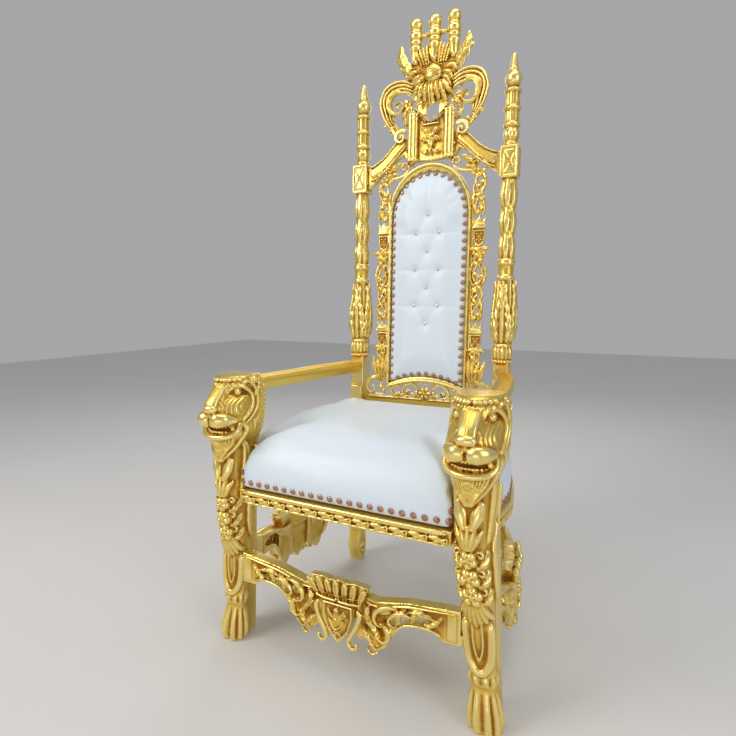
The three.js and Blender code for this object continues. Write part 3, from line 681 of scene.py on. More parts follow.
print("points on a smoothed square:", len(closed_curve(SQUARE, 16)))

# %% [markdown]
# Between the plans the skull is filled in evenly. Fine ripples across the cheeks stand for the combed hair
# there.

# %% The skull
SKULL_RINGS = 130
MOUTH_Z = 616
MOUTH_DEPTH = 16


def skull():
    heights = np.array([z for z, _ in HEAD_PLANS], float)
    whole = [[*plan, *((-x, y) for x, y in plan[-2:0:-1])] for _, plan in HEAD_PLANS]
    rows = np.stack([closed_curve(plan, 16) for plan in whole])
    at = np.linspace(heights[0], heights[-1], SKULL_RINGS)
    v = np.stack([np.stack([np.interp(at, heights, rows[:, j, i]) for j in range(rows.shape[1])], 1)
                  for i in range(2)], -1)
    for _ in range(3):
        v[1:-1] = (v[:-2] + 2 * v[1:-1] + v[2:]) / 4
    ahead = np.roll(v, -1, axis=1) - np.roll(v, 1, axis=1)
    out = unit(np.stack([-ahead[..., 1], ahead[..., 0]], -1))
    out *= np.sign((out * (v - (0, 20))).sum(-1, keepdims=True))
    flat = np.concatenate([v, np.repeat(at[:, None, None], v.shape[1], 1)], -1)
    x, y, z = np.abs(flat[..., 0]), flat[..., 1], flat[..., 2]
    cheek = np.clip((x - 22) / 6, 0, 1) * np.clip((53 - x) / 6, 0, 1)
    cheek = cheek * np.clip((z - 655) / 8, 0, 1) * np.clip((698 - z) / 8, 0, 1)
    ripple = 1.3 * np.cos(2 * np.pi * (x - 0.25 * (z - 680) ** 2 / 20) / 6.2) * cheek * (y < 10)
    flat[..., :2] += out * (ripple + 2.2 * cheek)[..., None]
    flat = flat.reshape(-1, 3)
    pressed(flat, 38, 4, 708, 10, (5, 3))
    pressed(flat, 30, -10, 710, 9, (3, 4))
    mouth = np.exp(-(((flat[:, 2] - MOUTH_Z) / 7.0) ** 4)) * np.exp(-((flat[:, 0] / 46) ** 6))
    mouth = mouth * (flat[:, 1] < 0)
    flat[:, 1] += MOUTH_DEPTH * mouth
    return skin(flat.reshape(len(at), -1, 3))


print("points of the skull:", len(skull()[0]))

# %% [markdown]
# The face is laid on one half at a time: s is -1 for the left half and 1 for the right. Whisker pads swell
# beside the nose, the eye sits under a heavy brow, and folds run down the cheek to the chin.

# %% The face
def nose():
    shells = [stroke([(0, -30, 738), (0, -42, 722), (0, -58, 704), (0, -71, 688), (0, -79, 670)],
                     [24, 21, 20, 19, 19], [7, 8, 9, 10, 11], ribs=6, groove=0.1, around=48)]
    return [*shells, ball(0, -80, 672, 22, 12, 12, 32, 20), ball(0, -80, 657, 8, 7, 9)]


def half_face(s):
    return [stroke([(s * 4, -72, 645), (s * 19, -75, 645), (s * 34, -66, 645), (s * 44, -50, 643),
                    (s * 49, -36, 640)], [15, 19, 17, 11, 5], [15, 18, 16, 11, 7], facing=(s * 0.35, -1, 0),
                   around=32), ball(s * 13, -81, 667, 7, 7, 6), ball(s * 35, -17, 709, 9.5, 9.5, 9, 24, 18),
            stroke([(s * 21, -40, 704), (s * 24, -31, 718), (s * 31, -21, 725), (s * 43, -7, 723),
                    (s * 51, 8, 710), (s * 51, 18, 694)], [2, 5, 6, 6, 5, 3], 7, facing=(s, -1, 0)),
            stroke([(s * 22, -38, 703), (s * 29, -24, 698), (s * 36, -10, 697), (s * 48, 10, 696)],
                   [2, 3, 3.4, 3], 5, facing=(s, -1, 0)),
            stroke([(s * 20, -66, 690), (s * 25, -60, 676), (s * 27, -62, 662), (s * 25, -68, 652)],
                   [2, 3.2, 3.2, 2], 4, facing=(s, -1, 0)),
            stroke([(s * 52, 12, 708), (s * 55, 16, 690), (s * 56, 10, 668), (s * 55, -6, 650),
                    (s * 52, -24, 636)], [4, 6, 7, 6, 4], 7, ribs=1, facing=(s, -0.4, 0)),
            stroke([(s * 46, -12, 732), (s * 51, 8, 734), (s * 55, 24, 718), (s * 57, 31, 695),
                    (s * 57, 30, 672), (s * 56, 18, 652), (s * 54, 0, 636), (s * 51, -16, 628)],
                   [4, 5, 5, 5, 5, 5, 4, 3], 7, facing=(s, 0, 0)),
            stroke([(s * 50, 24, 690), (s * 56, 31, 708), (s * 61, 38, 728)], [6, 9, 2], [8, 9, 4],
                   facing=(s, -0.5, 0), ribs=1, groove=0.5), ball(s * 41, -46, 619, 6, 6, 7),
            stroke([(s * 51, -24, 636), (s * 55, -10, 620), (s * 52, -8, 604), (s * 43, -18, 584),
                    (s * 31, -30, 562), (s * 15, -42, 543), (s * 2, -49, 527)], [5, 6, 6, 5.5, 5, 4.5, 3],
                   9)]
print("shells of half a face:", len(half_face(1)))

# %% [markdown]
# Two rows of teeth show in the open mouth, beads line the brow, and round the cheek stands the ruff:
# seventeen locks that fan out like rays, every other one a little longer.

# %% Teeth, brow and ruff
RUFF_LOCKS = 17


def teeth_and_brow(s):
    shells = []
    for k in range(5):
        shells.append(ball(s * (4 + 7.4 * k), -62 + 0.9 * k * k, 624, 3.4, 4, 4.0, 10, 8))
        shells.append(ball(s * (4 + 7.4 * k), -62 + 0.9 * k * k, 610.5, 3.6, 4, 4.2, 10, 8))
    for k in range(6):
        t = k / 5
        x, y = s * (4 + 43 * t), -45 + 40 * t**1.6
        shells.append(ball(x, y, 729 - t, 4.8, 4.8, 4.4, 12, 8))
        if k < 5:
            x, y = s * (7 + 42 * t), -42 + 42 * t**1.6
            shells.append(ball(x, y, 740, 6.2, 6, 5.2, 14, 10))
    return shells


def ruff(s):
    shells = []
    for k in range(RUFF_LOCKS):
        turn = math.radians(88 - 10.6 * k)
        near, far = 34, 50 + 8 * math.sin(1.7 * k) ** 2
        ends = [(s * (53 - 1.5 * abs(d)), min(74, 14 + r * math.cos(turn)),
                 max(556, min(742, 682 + 1.35 * r * math.sin(turn))))
                for d, r in ((0, near), (1, (near + far) / 2), (3, far + 8))]
        shells.append(stroke(ends, [4, 6.5, 3], [8, 10, 5], ribs=1, facing=(s, 0, 0), groove=0.45))
    return shells


print("locks in one side of the ruff:", len(ruff(1)))

# %% [markdown]
# Under the lip hangs the beard, thirteen straight combed strands that draw together to a point.

# %% Lip and beard
def beard():
    lip = [(-52, -24, 634), (-52, -40, 614), (-41, -54, 603), (-21, -65, 599), (0, -68, 598), (21, -65, 599),
           (41, -54, 603), (52, -40, 614), (52, -24, 634)]
    shells = [stroke(lip, [4, 6, 7, 7, 7, 7, 7, 6, 4], 9)]
    for i in range(-6, 7):
        x = i * 6.8
        y = -60 + 0.52 * abs(i) ** 2
        shells.append(stroke([(x, y, 600), (x * 0.8, y + 6 - 0.5 * abs(i), 576), (x * 0.42, -50, 552),
                              (x * 0.08, -46, 529)], [2.3, 2.3, 2.0, 1.4], 9, around=10))
    return shells


lion_head = [skull(), *nose()]
for half in (-1, 1):
    lion_head += [*half_face(half), *teeth_and_brow(half), *ruff(half)]
lion_head += beard()
print("shells of the head:", len(lion_head))

# %% [markdown]
# Behind the carving each front leg has a plain square stile, which takes the arm and the rails. Leg, head
# and stile melt into one piece, splayed a little below the seat.

# %% Carve the legs
stile = block(-26, 26, 30, 78, 0, 738)
leg_shells = [splayed(s) for s in [stile, limb(), *leg_carving, *lion_head]]
leg = carved("lion_leg_right", leg_shells, "front_leg_right", voxel=2.0, most=95000)
other_side(leg, "lion_leg_left", "front_leg_left")

# %% [markdown]
# ## The back posts
# A post is turned and carved from one length. From the floor: a square leg that sweeps back to a scroll
# foot, a square block that takes the arm, a bead ring and a fluted knob, a column wrapped in tall acanthus,
# a plain neck, three tiers of reeded lobes, a square block with a sunk cross on each face, and the spired
# finial.

# %% The finial
def reeds(count, amount, low, high):
    return lambda z, a: 1 - amount * (0.5 - 0.5 * np.cos(count * a)) * ((z > low) & (z < high))


def finial():
    profile = [[1394, 17], [1400, 21], [1406, 22], [1410, 18], [1422, 24], [1434, 26], [1444, 22], [1450, 19],
               [1454, 25], [1458, 26], [1462, 25], [1465, 21], [1499, 20.5], [1502, 25], [1505, 26],
               [1508, 25], [1511, 21], [1550, 20.5], [1553, 25], [1556, 26], [1559, 25], [1562, 17],
               [1568, 15], [1576, 22], [1586, 25], [1597, 24.5], [1606, 19], [1613, 13], [1617, 14.5],
               [1621, 13], [1630, 12], [1648, 9.5], [1655, 8.5], [1661, 7], [1663, 2]]

    def groove(z, a):
        shaft = ((z > 1466) & (z < 1498)) | ((z > 1512) & (z < 1549)) | ((z > 1412) & (z < 1446))
        return 1 - 0.09 * (0.5 - 0.5 * np.cos(8 * a)) ** 2 * shaft

    return turned(profile, shape=groove, sides=64)


print("rings of the finial:", len(finial()[0]) // 64)

# %% Three tiers of lobes
def tiers():
    """Three tiers of long reeds, each swelling from the ring below and closing over the next."""
    shells = [turned([[1050, 20], [1310, 20]])]
    for low, high in ((1064, 1142), (1142, 1219), (1219, 1306)):
        for k in range(6):
            a = 2 * np.pi * k / 6 - np.pi / 2
            c, s = np.cos(a), np.sin(a)
            mid = low + 0.42 * (high - low)
            shells.append(stroke([(15 * c, 15 * s, low - 2), (17.5 * c, 17.5 * s, mid),
                                  (12 * c, 12 * s, high + 4)], [7, 11.5, 6], [8, 10.5, 7], facing=(c, s, 0),
                                 ribs=2, groove=0.14))
    return shells


print("lobes:", len(tiers()) - 1)

# %% [markdown]
# A frame and four triangles stand on each face of the block, so that a cross is left sunk between them. One
# face is drawn and turned to the other three.

# %% The crossed block
def crossed_block():
    shells = [block(-24, 24, -24, 24, 1304, 1398)]
    low, high, h = 1306, 1396, 26
    panels = [[(-h, low), (h, low), (h, low + 6), (-h, low + 6)],
              [(-h, high - 6), (h, high - 6), (h, high), (-h, high)],
              [(-h, low), (-h + 6, low), (-h + 6, high), (-h, high)],
              [(h - 6, low), (h, low), (h, high), (h - 6, high)]]
    mid = (low + high) / 2
    panels += [[(-15, low + 12), (15, low + 12), (0, mid - 5)],
               [(-15, high - 12), (0, mid + 5), (15, high - 12)],
               [(-16, low + 17), (-4, mid), (-16, high - 17)], [(16, low + 17), (16, high - 17), (4, mid)]]
    for panel in panels:
        flat = board(panel, -h, -22)
        shells.append(flat)
        for turn in (1, 2, 3):
            v, f = flat
            angle = turn * np.pi / 2
            x = v[:, 0] * np.cos(angle) - v[:, 1] * np.sin(angle)
            y = v[:, 0] * np.sin(angle) + v[:, 1] * np.cos(angle)
            shells.append((np.stack([x, y, v[:, 2]], 1), f))
    return shells


print("pieces of the crossed block:", len(crossed_block()))

# %% [markdown]
# Long acanthus leaves wrap the column, a pair on each face and a ribbed stem up each corner between them.

# %% The leafy column
def column():
    z = np.arange(800, 1012, 2.0)[:, None]
    a = np.linspace(0, 2 * np.pi, 72, endpoint=False)[None, :]
    half = stations(z, [[800, 25], [830, 26], [900, 27], [960, 25], [1000, 22], [1012, 22]])
    r = half / np.maximum(np.abs(np.cos(a)), np.abs(np.sin(a))) ** 0.55
    shells = [skin(np.stack([r * np.cos(a), r * np.sin(a), z + 0 * a], -1))]
    for fx, fy in ((0, -1), (1, 0), (-1, 0), (0, 1)):
        deep = 5 if fy <= 0 else 2
        for side in (-1, 1):

            def at(across, z, out):
                return (fx * (25 + out) - fy * across * side, fy * (25 + out) + fx * across * side, z)

            shells.append(stroke([at(14, 812, 0), at(19, 850, deep), at(15, 900, deep), at(6, 950, deep - 1),
                                  at(10, 992, 1)], [7, 12, 11, 8, 5], [5, 8, 8, 7, 5], lobes=6,
                                 facing=(fx, fy, 0), groove=0.4))
        shells.append(stroke([(fx * 25, fy * 25, 808), (fx * (27 + deep), fy * (27 + deep), 870),
                              (fx * (27 + deep), fy * (27 + deep), 930), (fx * 28, fy * 28, 985),
                              (fx * 33, fy * 33, 1000)], [6, 8, 7, 6, 5], [6, 9, 8, 7, 7], ribs=2,
                             facing=(fx, fy, 0), groove=0.3))
    return shells


print("pieces of the column:", len(column()))

# %% [markdown]
# Below the column come a fluted knob over a ring of beads, and the square leg that sweeps back to its foot.

# %% Knob, rings and leg
def knob():
    profile = [[746, 20], [751, 27], [756, 28], [760, 26], [766, 31], [778, 33.5], [790, 32], [798, 28],
               [803, 29], [808, 26]]
    body = turned(profile, y=-8, sides=96, shape=reeds(14, 0.12, 761, 799))
    beads = [ball(28 * np.cos(a), -8 + 28 * np.sin(a), 754, 4.5, sides=10, rings=7)
             for a in np.arange(0, 2 * np.pi, 0.35)]
    return [body, *beads]


def back_leg():
    """The square lower leg, seen from the side as front and back edges at each height."""
    z = np.unique(np.r_[np.arange(0, 648, 4.0), 646])[:, None]
    front = stations(z, [[0, -13], [20, -24], [50, -33], [85, -31], [110, -27], [200, -33], [430, -34],
                         [646, -34]])
    rear = stations(z, [[0, 15], [30, 25], [60, 25], [110, 20], [230, 22], [430, 34], [646, 34]])
    a = np.linspace(0, 2 * np.pi, 48, endpoint=False)[None, :]
    c, s = np.cos(a), np.sin(a)
    boxy = 1 / np.maximum(np.abs(c), np.abs(s)) ** 0.92
    x = 22.5 * boxy * c
    y = (front + rear) / 2 + (rear - front) / 2 * boxy * s
    shells = [skin(np.stack(np.broadcast_arrays(x, y, z), -1))]
    for side in (-1, 1):
        curl = [(side * 22, y, z)
                for _, y, z in ((0, u, v) for u, _, v in volute(-6, 0, 52, 22, 4, 100, 1.3))]
        shells.append(stroke(curl, 4.5, 6, facing=(side, 0, 0)))
        shells.append(ball(side * 22, -6, 52, 5, 7, 7))
    neck = block(-23, 23, -26, 30, 640, 752)
    spine = block(-20, 20, 4, 31, 748, 812)
    return [*shells, neck, spine]


def neck_rings():
    return turned([[1000, 22], [1004, 26], [1010, 27.5], [1016, 25], [1020, 22], [1046, 22.5], [1049, 26],
                   [1053, 28], [1057, 26], [1060, 27], [1064, 26], [1068, 20]])


print("pieces of the leg:", len(back_leg()), "and of the knob:", len(knob()))

# %% [markdown]
# The whole post is drawn upright about its own middle, then moved out to its place and leaned back.

# %% Carve the posts
post_shells = [*back_leg(), *knob(), *column(), neck_rings(), *tiers(), *crossed_block(), finial()]
post = carved("back_post_carved_right", [leaned(moved(s, dx=POST_X)) for s in post_shells], "back_post_right",
              voxel=2.2, most=56000)
other_side(post, "back_post_carved_left", "back_post_left")

# %% [markdown]
# ## The back: frame, frets and crest
# The pad sits in a thin moulded frame with a round head and a bottom that arches up. A moulding that
# follows two outlines is a hoop: a small profile carried round between the outer line and the inner one.

# %% The arched frame
def arch(half, low, rise, spring, top, n=72):
    """Outline of the arched frame, anticlockwise from the lower left corner."""
    u = np.linspace(-1, 1, 28)
    bottom = np.stack([half * u, low + rise * (1 - u**2)], 1)
    up = np.stack([np.full(40, half), np.linspace(low, spring, 42)[1:-1]], 1)
    a = np.linspace(0, np.pi, n)
    head = np.stack([half * np.cos(a), spring + (top - spring) * np.sin(a)], 1)
    down = up[::-1] * (-1, 1)
    return np.vstack([bottom, up, head, down])


def hoop(outer, inner, profile):
    """A closed moulding between two outlines; profile lists (share of the way in, y) round the section."""
    rings = np.stack([np.stack([*(outer + (inner - outer) * s).T[:1], np.full(len(outer), y),
                                (outer + (inner - outer) * s)[:, 1]], 1) for s, y in profile])
    m, n = rings.shape[:2]
    i, j = np.meshgrid(np.arange(m), np.arange(n), indexing="ij")
    q = [i * n + j, i * n + (j + 1) % n, (i + 1) % m * n + (j + 1) % n, (i + 1) % m * n + j]
    return rings.reshape(-1, 3), np.stack(q, -1).reshape(-1, 4).tolist()


print("corners of an arch:", len(arch(10, 0, 2, 20, 30)))

# %% Carve the frame
outer_line = arch(138, 640, 30, 1215, 1378)
inner_line = arch(129, 662, 29, 1215, 1351)
FRAME_SECTION = [(0, 12), (0, -18), (0.18, -23), (0.4, -24), (0.5, -20), (0.62, -22), (0.85, -20), (1, -14),
                 (1, 12)]
round_head = arch(134, 646, 30, 1215, 1370)[68:140]
frame_shells = [hoop(outer_line, inner_line, FRAME_SECTION),
                stroke([(x, -22, z) for x, z in round_head[::6]], [2, 4, 5, 4, 2], 5)]
carved("arched_frame", [leaned(s) for s in frame_shells], "back_frame", voxel=2.2, most=24000)

# %% [markdown]
# Beside the frame hang two pierced frets: a chain of almond loops, C-scrolls, crowned shields, flowers and
# leaves, ending in a bold scroll on the lower rail. Each kind of link is a function, so it is drawn once
# and used at several heights.

# %% Loops, crowns and shields
FRET_X = 163


def loop(x, y, z, rx, rz, width, height, pointed=0.0, **kind):
    a = np.linspace(-90, 275, 26)
    c, s = np.cos(np.radians(a)), np.sin(np.radians(a))
    px = x + rx * c * (1 - pointed * np.abs(s) ** 2)
    return stroke(np.stack([px, y + 0 * a, z + rz * s], 1).tolist(), width, height, **kind)


def small_crown(x, y, z, w=21, h=24):
    """A bar with three points, over a shield."""
    bar = [(x - w * 0.8, z), (x + w * 0.8, z), (x + w, z + h), (x + w * 0.5, z + h * 0.45), (x, z + h * 1.15),
           (x - w * 0.5, z + h * 0.45), (x - w, z + h)]
    tips = [ball(x + dx * w, y - 3, z + h * dz, 3.4) for dx, dz in ((-0.95, 1), (0, 1.15), (0.95, 1))]
    return [board(bar, y - 5, y + 8), block(x - w * 0.9, x + w * 0.9, y - 8, y + 6, z - 5, z + 3), *tips]


def small_shield(x, y, z, w=19, h=56):
    """A rimmed shield with a plain raised device of bars and beads."""
    outline = [(x - w, z), (x - w * 0.94, z - h * 0.55), (x - w * 0.62, z - h * 0.82), (x, z - h),
               (x + w * 0.62, z - h * 0.82), (x + w * 0.94, z - h * 0.55), (x + w, z)]
    body = rimmed(outline, x, y, z - h * 0.45, rim=6, dome=3, back=12, edge=0.8)
    device = [ball(x + dx, y - 4, z + dz, 4, 4, 5)
              for dx, dz in ((-7, -14), (7, -14), (-7, -32), (7, -32), (0, -23))]
    return [body, *device]


print("pieces of a crowned shield:", len(small_crown(0, 0, 0)) + len(small_shield(0, 0, 0)))

# %% Scrolls and sprays
def c_scroll(x, y, z, w, h, width=4.2, height=9, side=1):
    """A C with a curl at each end, opening towards the middle when side is -1."""
    points = [(x - side * w * 0.1, z + h * 0.32), (x + side * w * 0.25, z + h * 0.22),
              (x + side * w * 0.3, z + h * 0.44), (x - side * w * 0.2, z + h * 0.52),
              (x - side * w * 0.75, z + h * 0.3), (x - side * w, z), (x - side * w * 0.75, z - h * 0.3),
              (x - side * w * 0.2, z - h * 0.52), (x + side * w * 0.3, z - h * 0.44),
              (x + side * w * 0.25, z - h * 0.22), (x - side * w * 0.1, z - h * 0.32)]
    return stroke([(px, y, pz) for px, pz in points], [2.5, width, width * 1.2, width, 2.5], height, ribs=2)


def spray(x, y, z, r, count, spread, width, height, up=90, lobes=0):
    """Leaves fanned out from one point."""
    shells = []
    for k in range(count):
        a = math.radians(up + spread * (k - (count - 1) / 2) / max(1, count - 1))
        c, s = math.cos(a), math.sin(a)
        shells.append(stroke([(x, y + 2, z), (x + 0.5 * r * c, y - 3, z + 0.5 * r * s),
                              (x + r * c, y, z + r * s)], [width * 0.5, width, width * 0.4], height,
                             ribs=2 if not lobes else 0, lobes=lobes, groove=0.35))
    return shells


print("leaves in a spray of five:", len(spray(0, 0, 0, 30, 5, 150, 10, 10)))

# %% [markdown]
# The links hang on two ribbons that wind round each other from top to bottom, with small leaves and beads
# in the gaps. A narrow strip ties the chain to the frame.

# %% Ribbons of the side fret
FRET_Y = -4


def ribbons():
    x, y = FRET_X, FRET_Y
    shells = [block(138.8, 145, -10, 8, 640, 1296)]
    for low, high, turns in ((690, 790, 1), (868, 1086, 2), (1196, 1334, 1)):
        zs = np.linspace(low, high, 8 * turns + 1)
        for s in (-1, 1):
            chain = [(x + 1 + s * 15 * math.sin(np.pi * (0.15 + turns * (z - low) / (high - low) * 1.7)),
                      y - 2, z) for z in zs]
            shells.append(stroke(chain, [4, 6, 6, 6, 4], 10, ribs=1, groove=0.3))
    for k, z in enumerate((700, 742, 878, 920, 962, 1004, 1046, 1080, 1204, 1244, 1284)):
        s = -1 if k % 2 else 1
        shells.append(stroke([(x - s * 14, y, z), (x + s * 3, y - 5, z + 14), (x + s * 19, y - 2, z + 34)],
                             [5, 10, 5], 11, lobes=3, groove=0.4))
        shells.append(ball(x - s * 12, y - 4, z + 12, 6, 8, 6))
    return shells


print("pieces of the ribbons:", len(ribbons()))

# %% [markdown]
# From the top the chain reads: loop and leaves, scroll and flower, crowned shield, leaves, a pair of
# scrolls, loop, a second crowned shield and leaves.

# %% Links of the side fret
def links():
    x, y = FRET_X, FRET_Y
    shells = [loop(x, y, 1304, 15, 27, 6, 11, 0.4, ribs=1),
              *spray(x - 4, y, 1318, 40, 3, 90, 10, 10, up=100, lobes=3)]
    shells += [c_scroll(x - 1, y, 1247, 22, 62, 6.5, 11), flower(x + 6, y - 3, 1232, 13, 10, 5)]
    shells += [*small_crown(x, y, 1175), block(x - 21, x + 21, -12, 8, 1162, 1171), *small_shield(x, y, 1160)]
    shells += [*spray(x, y, 1106, 40, 5, 150, 11, 11, up=-90, lobes=2),
               *spray(x, y, 1066, 30, 3, 60, 9, 11, up=90)]
    shells += [c_scroll(x - 11, y, 1023, 14, 66, 5.5, 11),
               c_scroll(x + 11, y, 1023, 14, 66, 5.5, 11, side=-1), ball(x, y - 4, 992, 9, 9, 9),
               *spray(x, y, 986, 28, 3, 90, 8, 10, up=-90)]
    shells += [loop(x, y, 915, 16, 42, 6.5, 11, 0.5, ribs=1), *spray(x, y, 938, 26, 3, 100, 8, 10, up=-90)]
    shells += [*small_crown(x, y, 849, h=20), block(x - 22, x + 22, -12, 8, 835, 845),
               *small_shield(x, y, 834, h=50)]
    return [*shells, *spray(x, y, 788, 34, 5, 150, 10, 10, up=-90, lobes=2)]


print("pieces of the links:", len(links()))

# %% [markdown]
# At the foot four flame-like leaves spring from a bold scroll that rests on the lower rail.

# %% Foot of the side fret
def fret_foot():
    x, y = FRET_X, FRET_Y
    shells = []
    for k, (dx, lean) in enumerate(((-17, -4), (-6, 0), (7, 6), (19, 14))):
        shells.append(stroke([(x + dx * 0.4, y, 664), (x + dx * 0.9 + lean * 0.4, y - 5, 712),
                              (x + dx + lean, y, 762 - 3 * k)], [7, 11, 5], [10, 13, 8], ribs=3, groove=0.35))
    shells.append(stroke([(150, y, 704), (178, y - 2, 680), (204, y - 4, 666), (214, y - 4, 638),
                          (200, y - 4, 622), (184, y - 4, 632), (192, y - 4, 646), (198, y - 4, 640)],
                         [8, 12, 12, 10, 8, 6, 5, 3], 12, ribs=3))
    shells.append(stroke([(142, y, 622), (160, y - 2, 642), (170, y - 2, 668)], [6, 11, 5], 11, lobes=3,
                         groove=0.4))
    shells.append(stroke([(146, y, 618), (176, y, 616), (212, y, 618)], [4, 6, 3], 9))
    shells.append(ball(193, y - 4, 641, 7, 12, 7))
    return shells


fret_shells = [leaned(s) for s in [*ribbons(), *links(), *fret_foot()]]
fret = carved("side_fret_carved_right", fret_shells, "side_fret_right", voxel=2.0, most=48000, swell=1.8)
other_side(fret, "side_fret_carved_left", "side_fret_left")

# %% [markdown]
# Under the frame a lower fret fills the arch: a flower in the middle, scrolls that roll out to both sides
# and little leaves between them, standing on the lower rail of the back.

# %% Lower fret
POST_EDGE = 222.5  # inner face of a back post, from the middle


def lower_fret():
    y = -6
    half = [stroke([(20, y, 640), (46, y, 662), (74, y, 652), (80, y, 628), (60, y, 620), (52, y, 634),
                    (62, y, 640)], [4, 7, 8, 7, 6, 4, 3], 11, ribs=2),
            stroke([(84, y, 652), (108, y, 650), (124, y, 634), (112, y, 618), (98, y, 626), (104, y, 636)],
                   [4, 7, 8, 7, 4, 3], 11, ribs=2), *spray(30, y, 616, 26, 3, 100, 8, 10),
            *spray(92, y, 614, 22, 3, 90, 7, 9), flower(64, y - 2, 634, 10, 8, 5),
            block(POST_EDGE - 84, POST_EDGE, -9, 9, 578, 611.5),
            stroke([(0, -9, 611), (110, -9, 611), (222, -9, 608)], 4, 5)]
    top = [stroke([(x, -6, 640 + 28 * (1 - (x / 136) ** 2) - 5) for x in range(-130, 131, 20)], 4, 7, ribs=1)]
    return [*both(half), *top, flower(0, y - 6, 634, 24, 12, 6), block(-139, 139, -9, 9, 578, 614)]


carved("lower_fret_carved", [leaned(s) for s in lower_fret()], "lower_fret", voxel=2.0, most=34000, swell=1.8)

# %% [markdown]
# The crest is the showpiece. From the top: a coronet of three turned pinnacles tied by a bar, a palmette of
# flutes between tall acanthus leaves, a helmet with a visor among leafy mantling, a great ribbed C-scroll
# on each side, a shield between paired colonettes under a hollow cornice, and a rail that sweeps down to
# each post in a swan's neck. The shield carries a plain device of its own. First the coronet, all turned
# work.

# %% The coronet
PINNACLE_SWELL = 1.26  # turned work stands a little fuller than its profile
BAR_SWELL = 1.35


def pinnacle(x):
    profile = [[1690, 5], [1700, 9], [1722, 10], [1732, 12.5], [1738, 14], [1744, 10], [1748, 13],
               [1755, 14.5], [1760, 11], [1765, 14], [1775, 16], [1782, 12], [1786, 13.5], [1792, 10],
               [1797, 12.5], [1806, 15], [1815, 14.5], [1823, 10], [1827, 4], [1828, 0.5]]
    return turned([[z, PINNACLE_SWELL * r] for z, r in profile], x=x, y=-2, sides=40, step=1.5)


def coronet():
    bar = [[-62, 7], [-50, 7], [-46, 9], [-42, 6], [-30, 6.5], [-26, 9.5], [-22, 6], [-14, 6], [0, 15],
           [14, 6], [22, 6], [26, 9.5], [30, 6.5], [42, 6], [46, 9], [50, 5], [62, 5]]
    v, f = turned([[z, BAR_SWELL * r] for z, r in bar], sides=32)
    lying = (np.stack([v[:, 2], v[:, 1] - 3, 1771 - v[:, 0]], 1), [face[::-1] for face in f])
    pinnacles = [pinnacle(x) for x in (-63, 0, 63)]
    twist = [stroke([(s * 63 + 9 * math.cos(a), -2, z)
                     for a, z in zip(np.linspace(0, 20, 20), np.linspace(1700, 1730, 20))], 2, 9)
             for s in (-1, 1)]
    return [lying, *pinnacles, *twist]


print("pieces of the coronet:", len(coronet()))

# %% [markdown]
# Four flutes rise on each side of an almond loop, and three long acanthus leaves curl out beside them.

# %% The palmette
def palmette():
    shells = [loop(0, -8, 1727, 13, 33, 5, 10, 0.2, ribs=1),
              stroke([(0, -8, 1686), (0, -12, 1720), (0, -8, 1742)], [3, 5, 2], 9)]
    half = []
    for k, (dx, top) in enumerate(((24, 1744), (36, 1738), (49, 1736), (62, 1742))):
        half.append(stroke([(dx * 0.62, -6, 1676), (dx * 0.85, -12, 1712), (dx, -8, top)], [5, 7.5, 5],
                           [9, 12, 8], ribs=2, groove=0.4))
    half.append(stroke([(3, -18, 1684), (20, -18, 1672), (44, -18, 1668), (72, -16, 1676)], [2, 3.5, 3.5, 2],
                       7))
    for tip, reach in (((112, 1760), 1.0), ((124, 1738), 0.9), ((134, 1716), 0.8)):
        half.append(stroke([(62, -8, 1636), (84, -12, 1668), (98 + 8 * reach, -12, 1706),
                            (tip[0], -6, tip[1])], [12, 22, 20, 7], [10, 14, 11, 5], lobes=5, groove=0.35))
    return [*shells, *both(half),
            board(even([[0, 1640], [70, 1650], [84, 1690], [70, 1712], [40, 1720], [0, 1730]]), -6, 8)]
print("pieces of the palmette:", len(palmette()))

# %% [markdown]
# The helmet is a ball with two bars for its visor. Leafy mantling falls from it in short lobed leaves.

# %% The helmet
def helmet():
    shells = [ball(0, -8, 1650, 34, 22, 34, 32, 20),
              stroke([(-34, -24, 1646), (0, -35, 1656), (34, -24, 1646)], [3, 6, 3], 8),
              stroke([(-30, -24, 1640), (0, -32, 1632), (30, -24, 1640)], [2, 4, 2], 7)]
    half = []
    for x0, x1, z1 in ((4, 4, 1546), (14, 24, 1562), (26, 46, 1552), (36, 66, 1578)):
        half.append(stroke([(x0, -22, 1624), ((x0 + x1) / 2, -28, 1596), (x1, -18, z1)], [7, 13, 8],
                           [10, 13, 8], lobes=3, groove=0.4))
    for x0, z0, x1, z1 in ((30, 1650, 70, 1612), (40, 1664, 86, 1636), (26, 1636, 60, 1596)):
        half.append(stroke([(x0, -16, z0), ((x0 + x1) / 2 + 6, -20, (z0 + z1) / 2 + 8), (x1, -12, z1)],
                           [6, 11, 6], 10, lobes=3, groove=0.4))
    half.append(block(18, 52, -6, 8, 1528, 1650))
    return [*shells, *both(half),
            board(even([[0, 1560], [56, 1566], [74, 1600], [70, 1650], [0, 1660]]), -8, 8)]
print("pieces of the helmet:", len(helmet()))

# %% [markdown]
# Four ribs side by side make the broad back of the scroll, each a little inside the last. They run into a
# curl round a ball, with leaves at the tail and a sawn board behind.

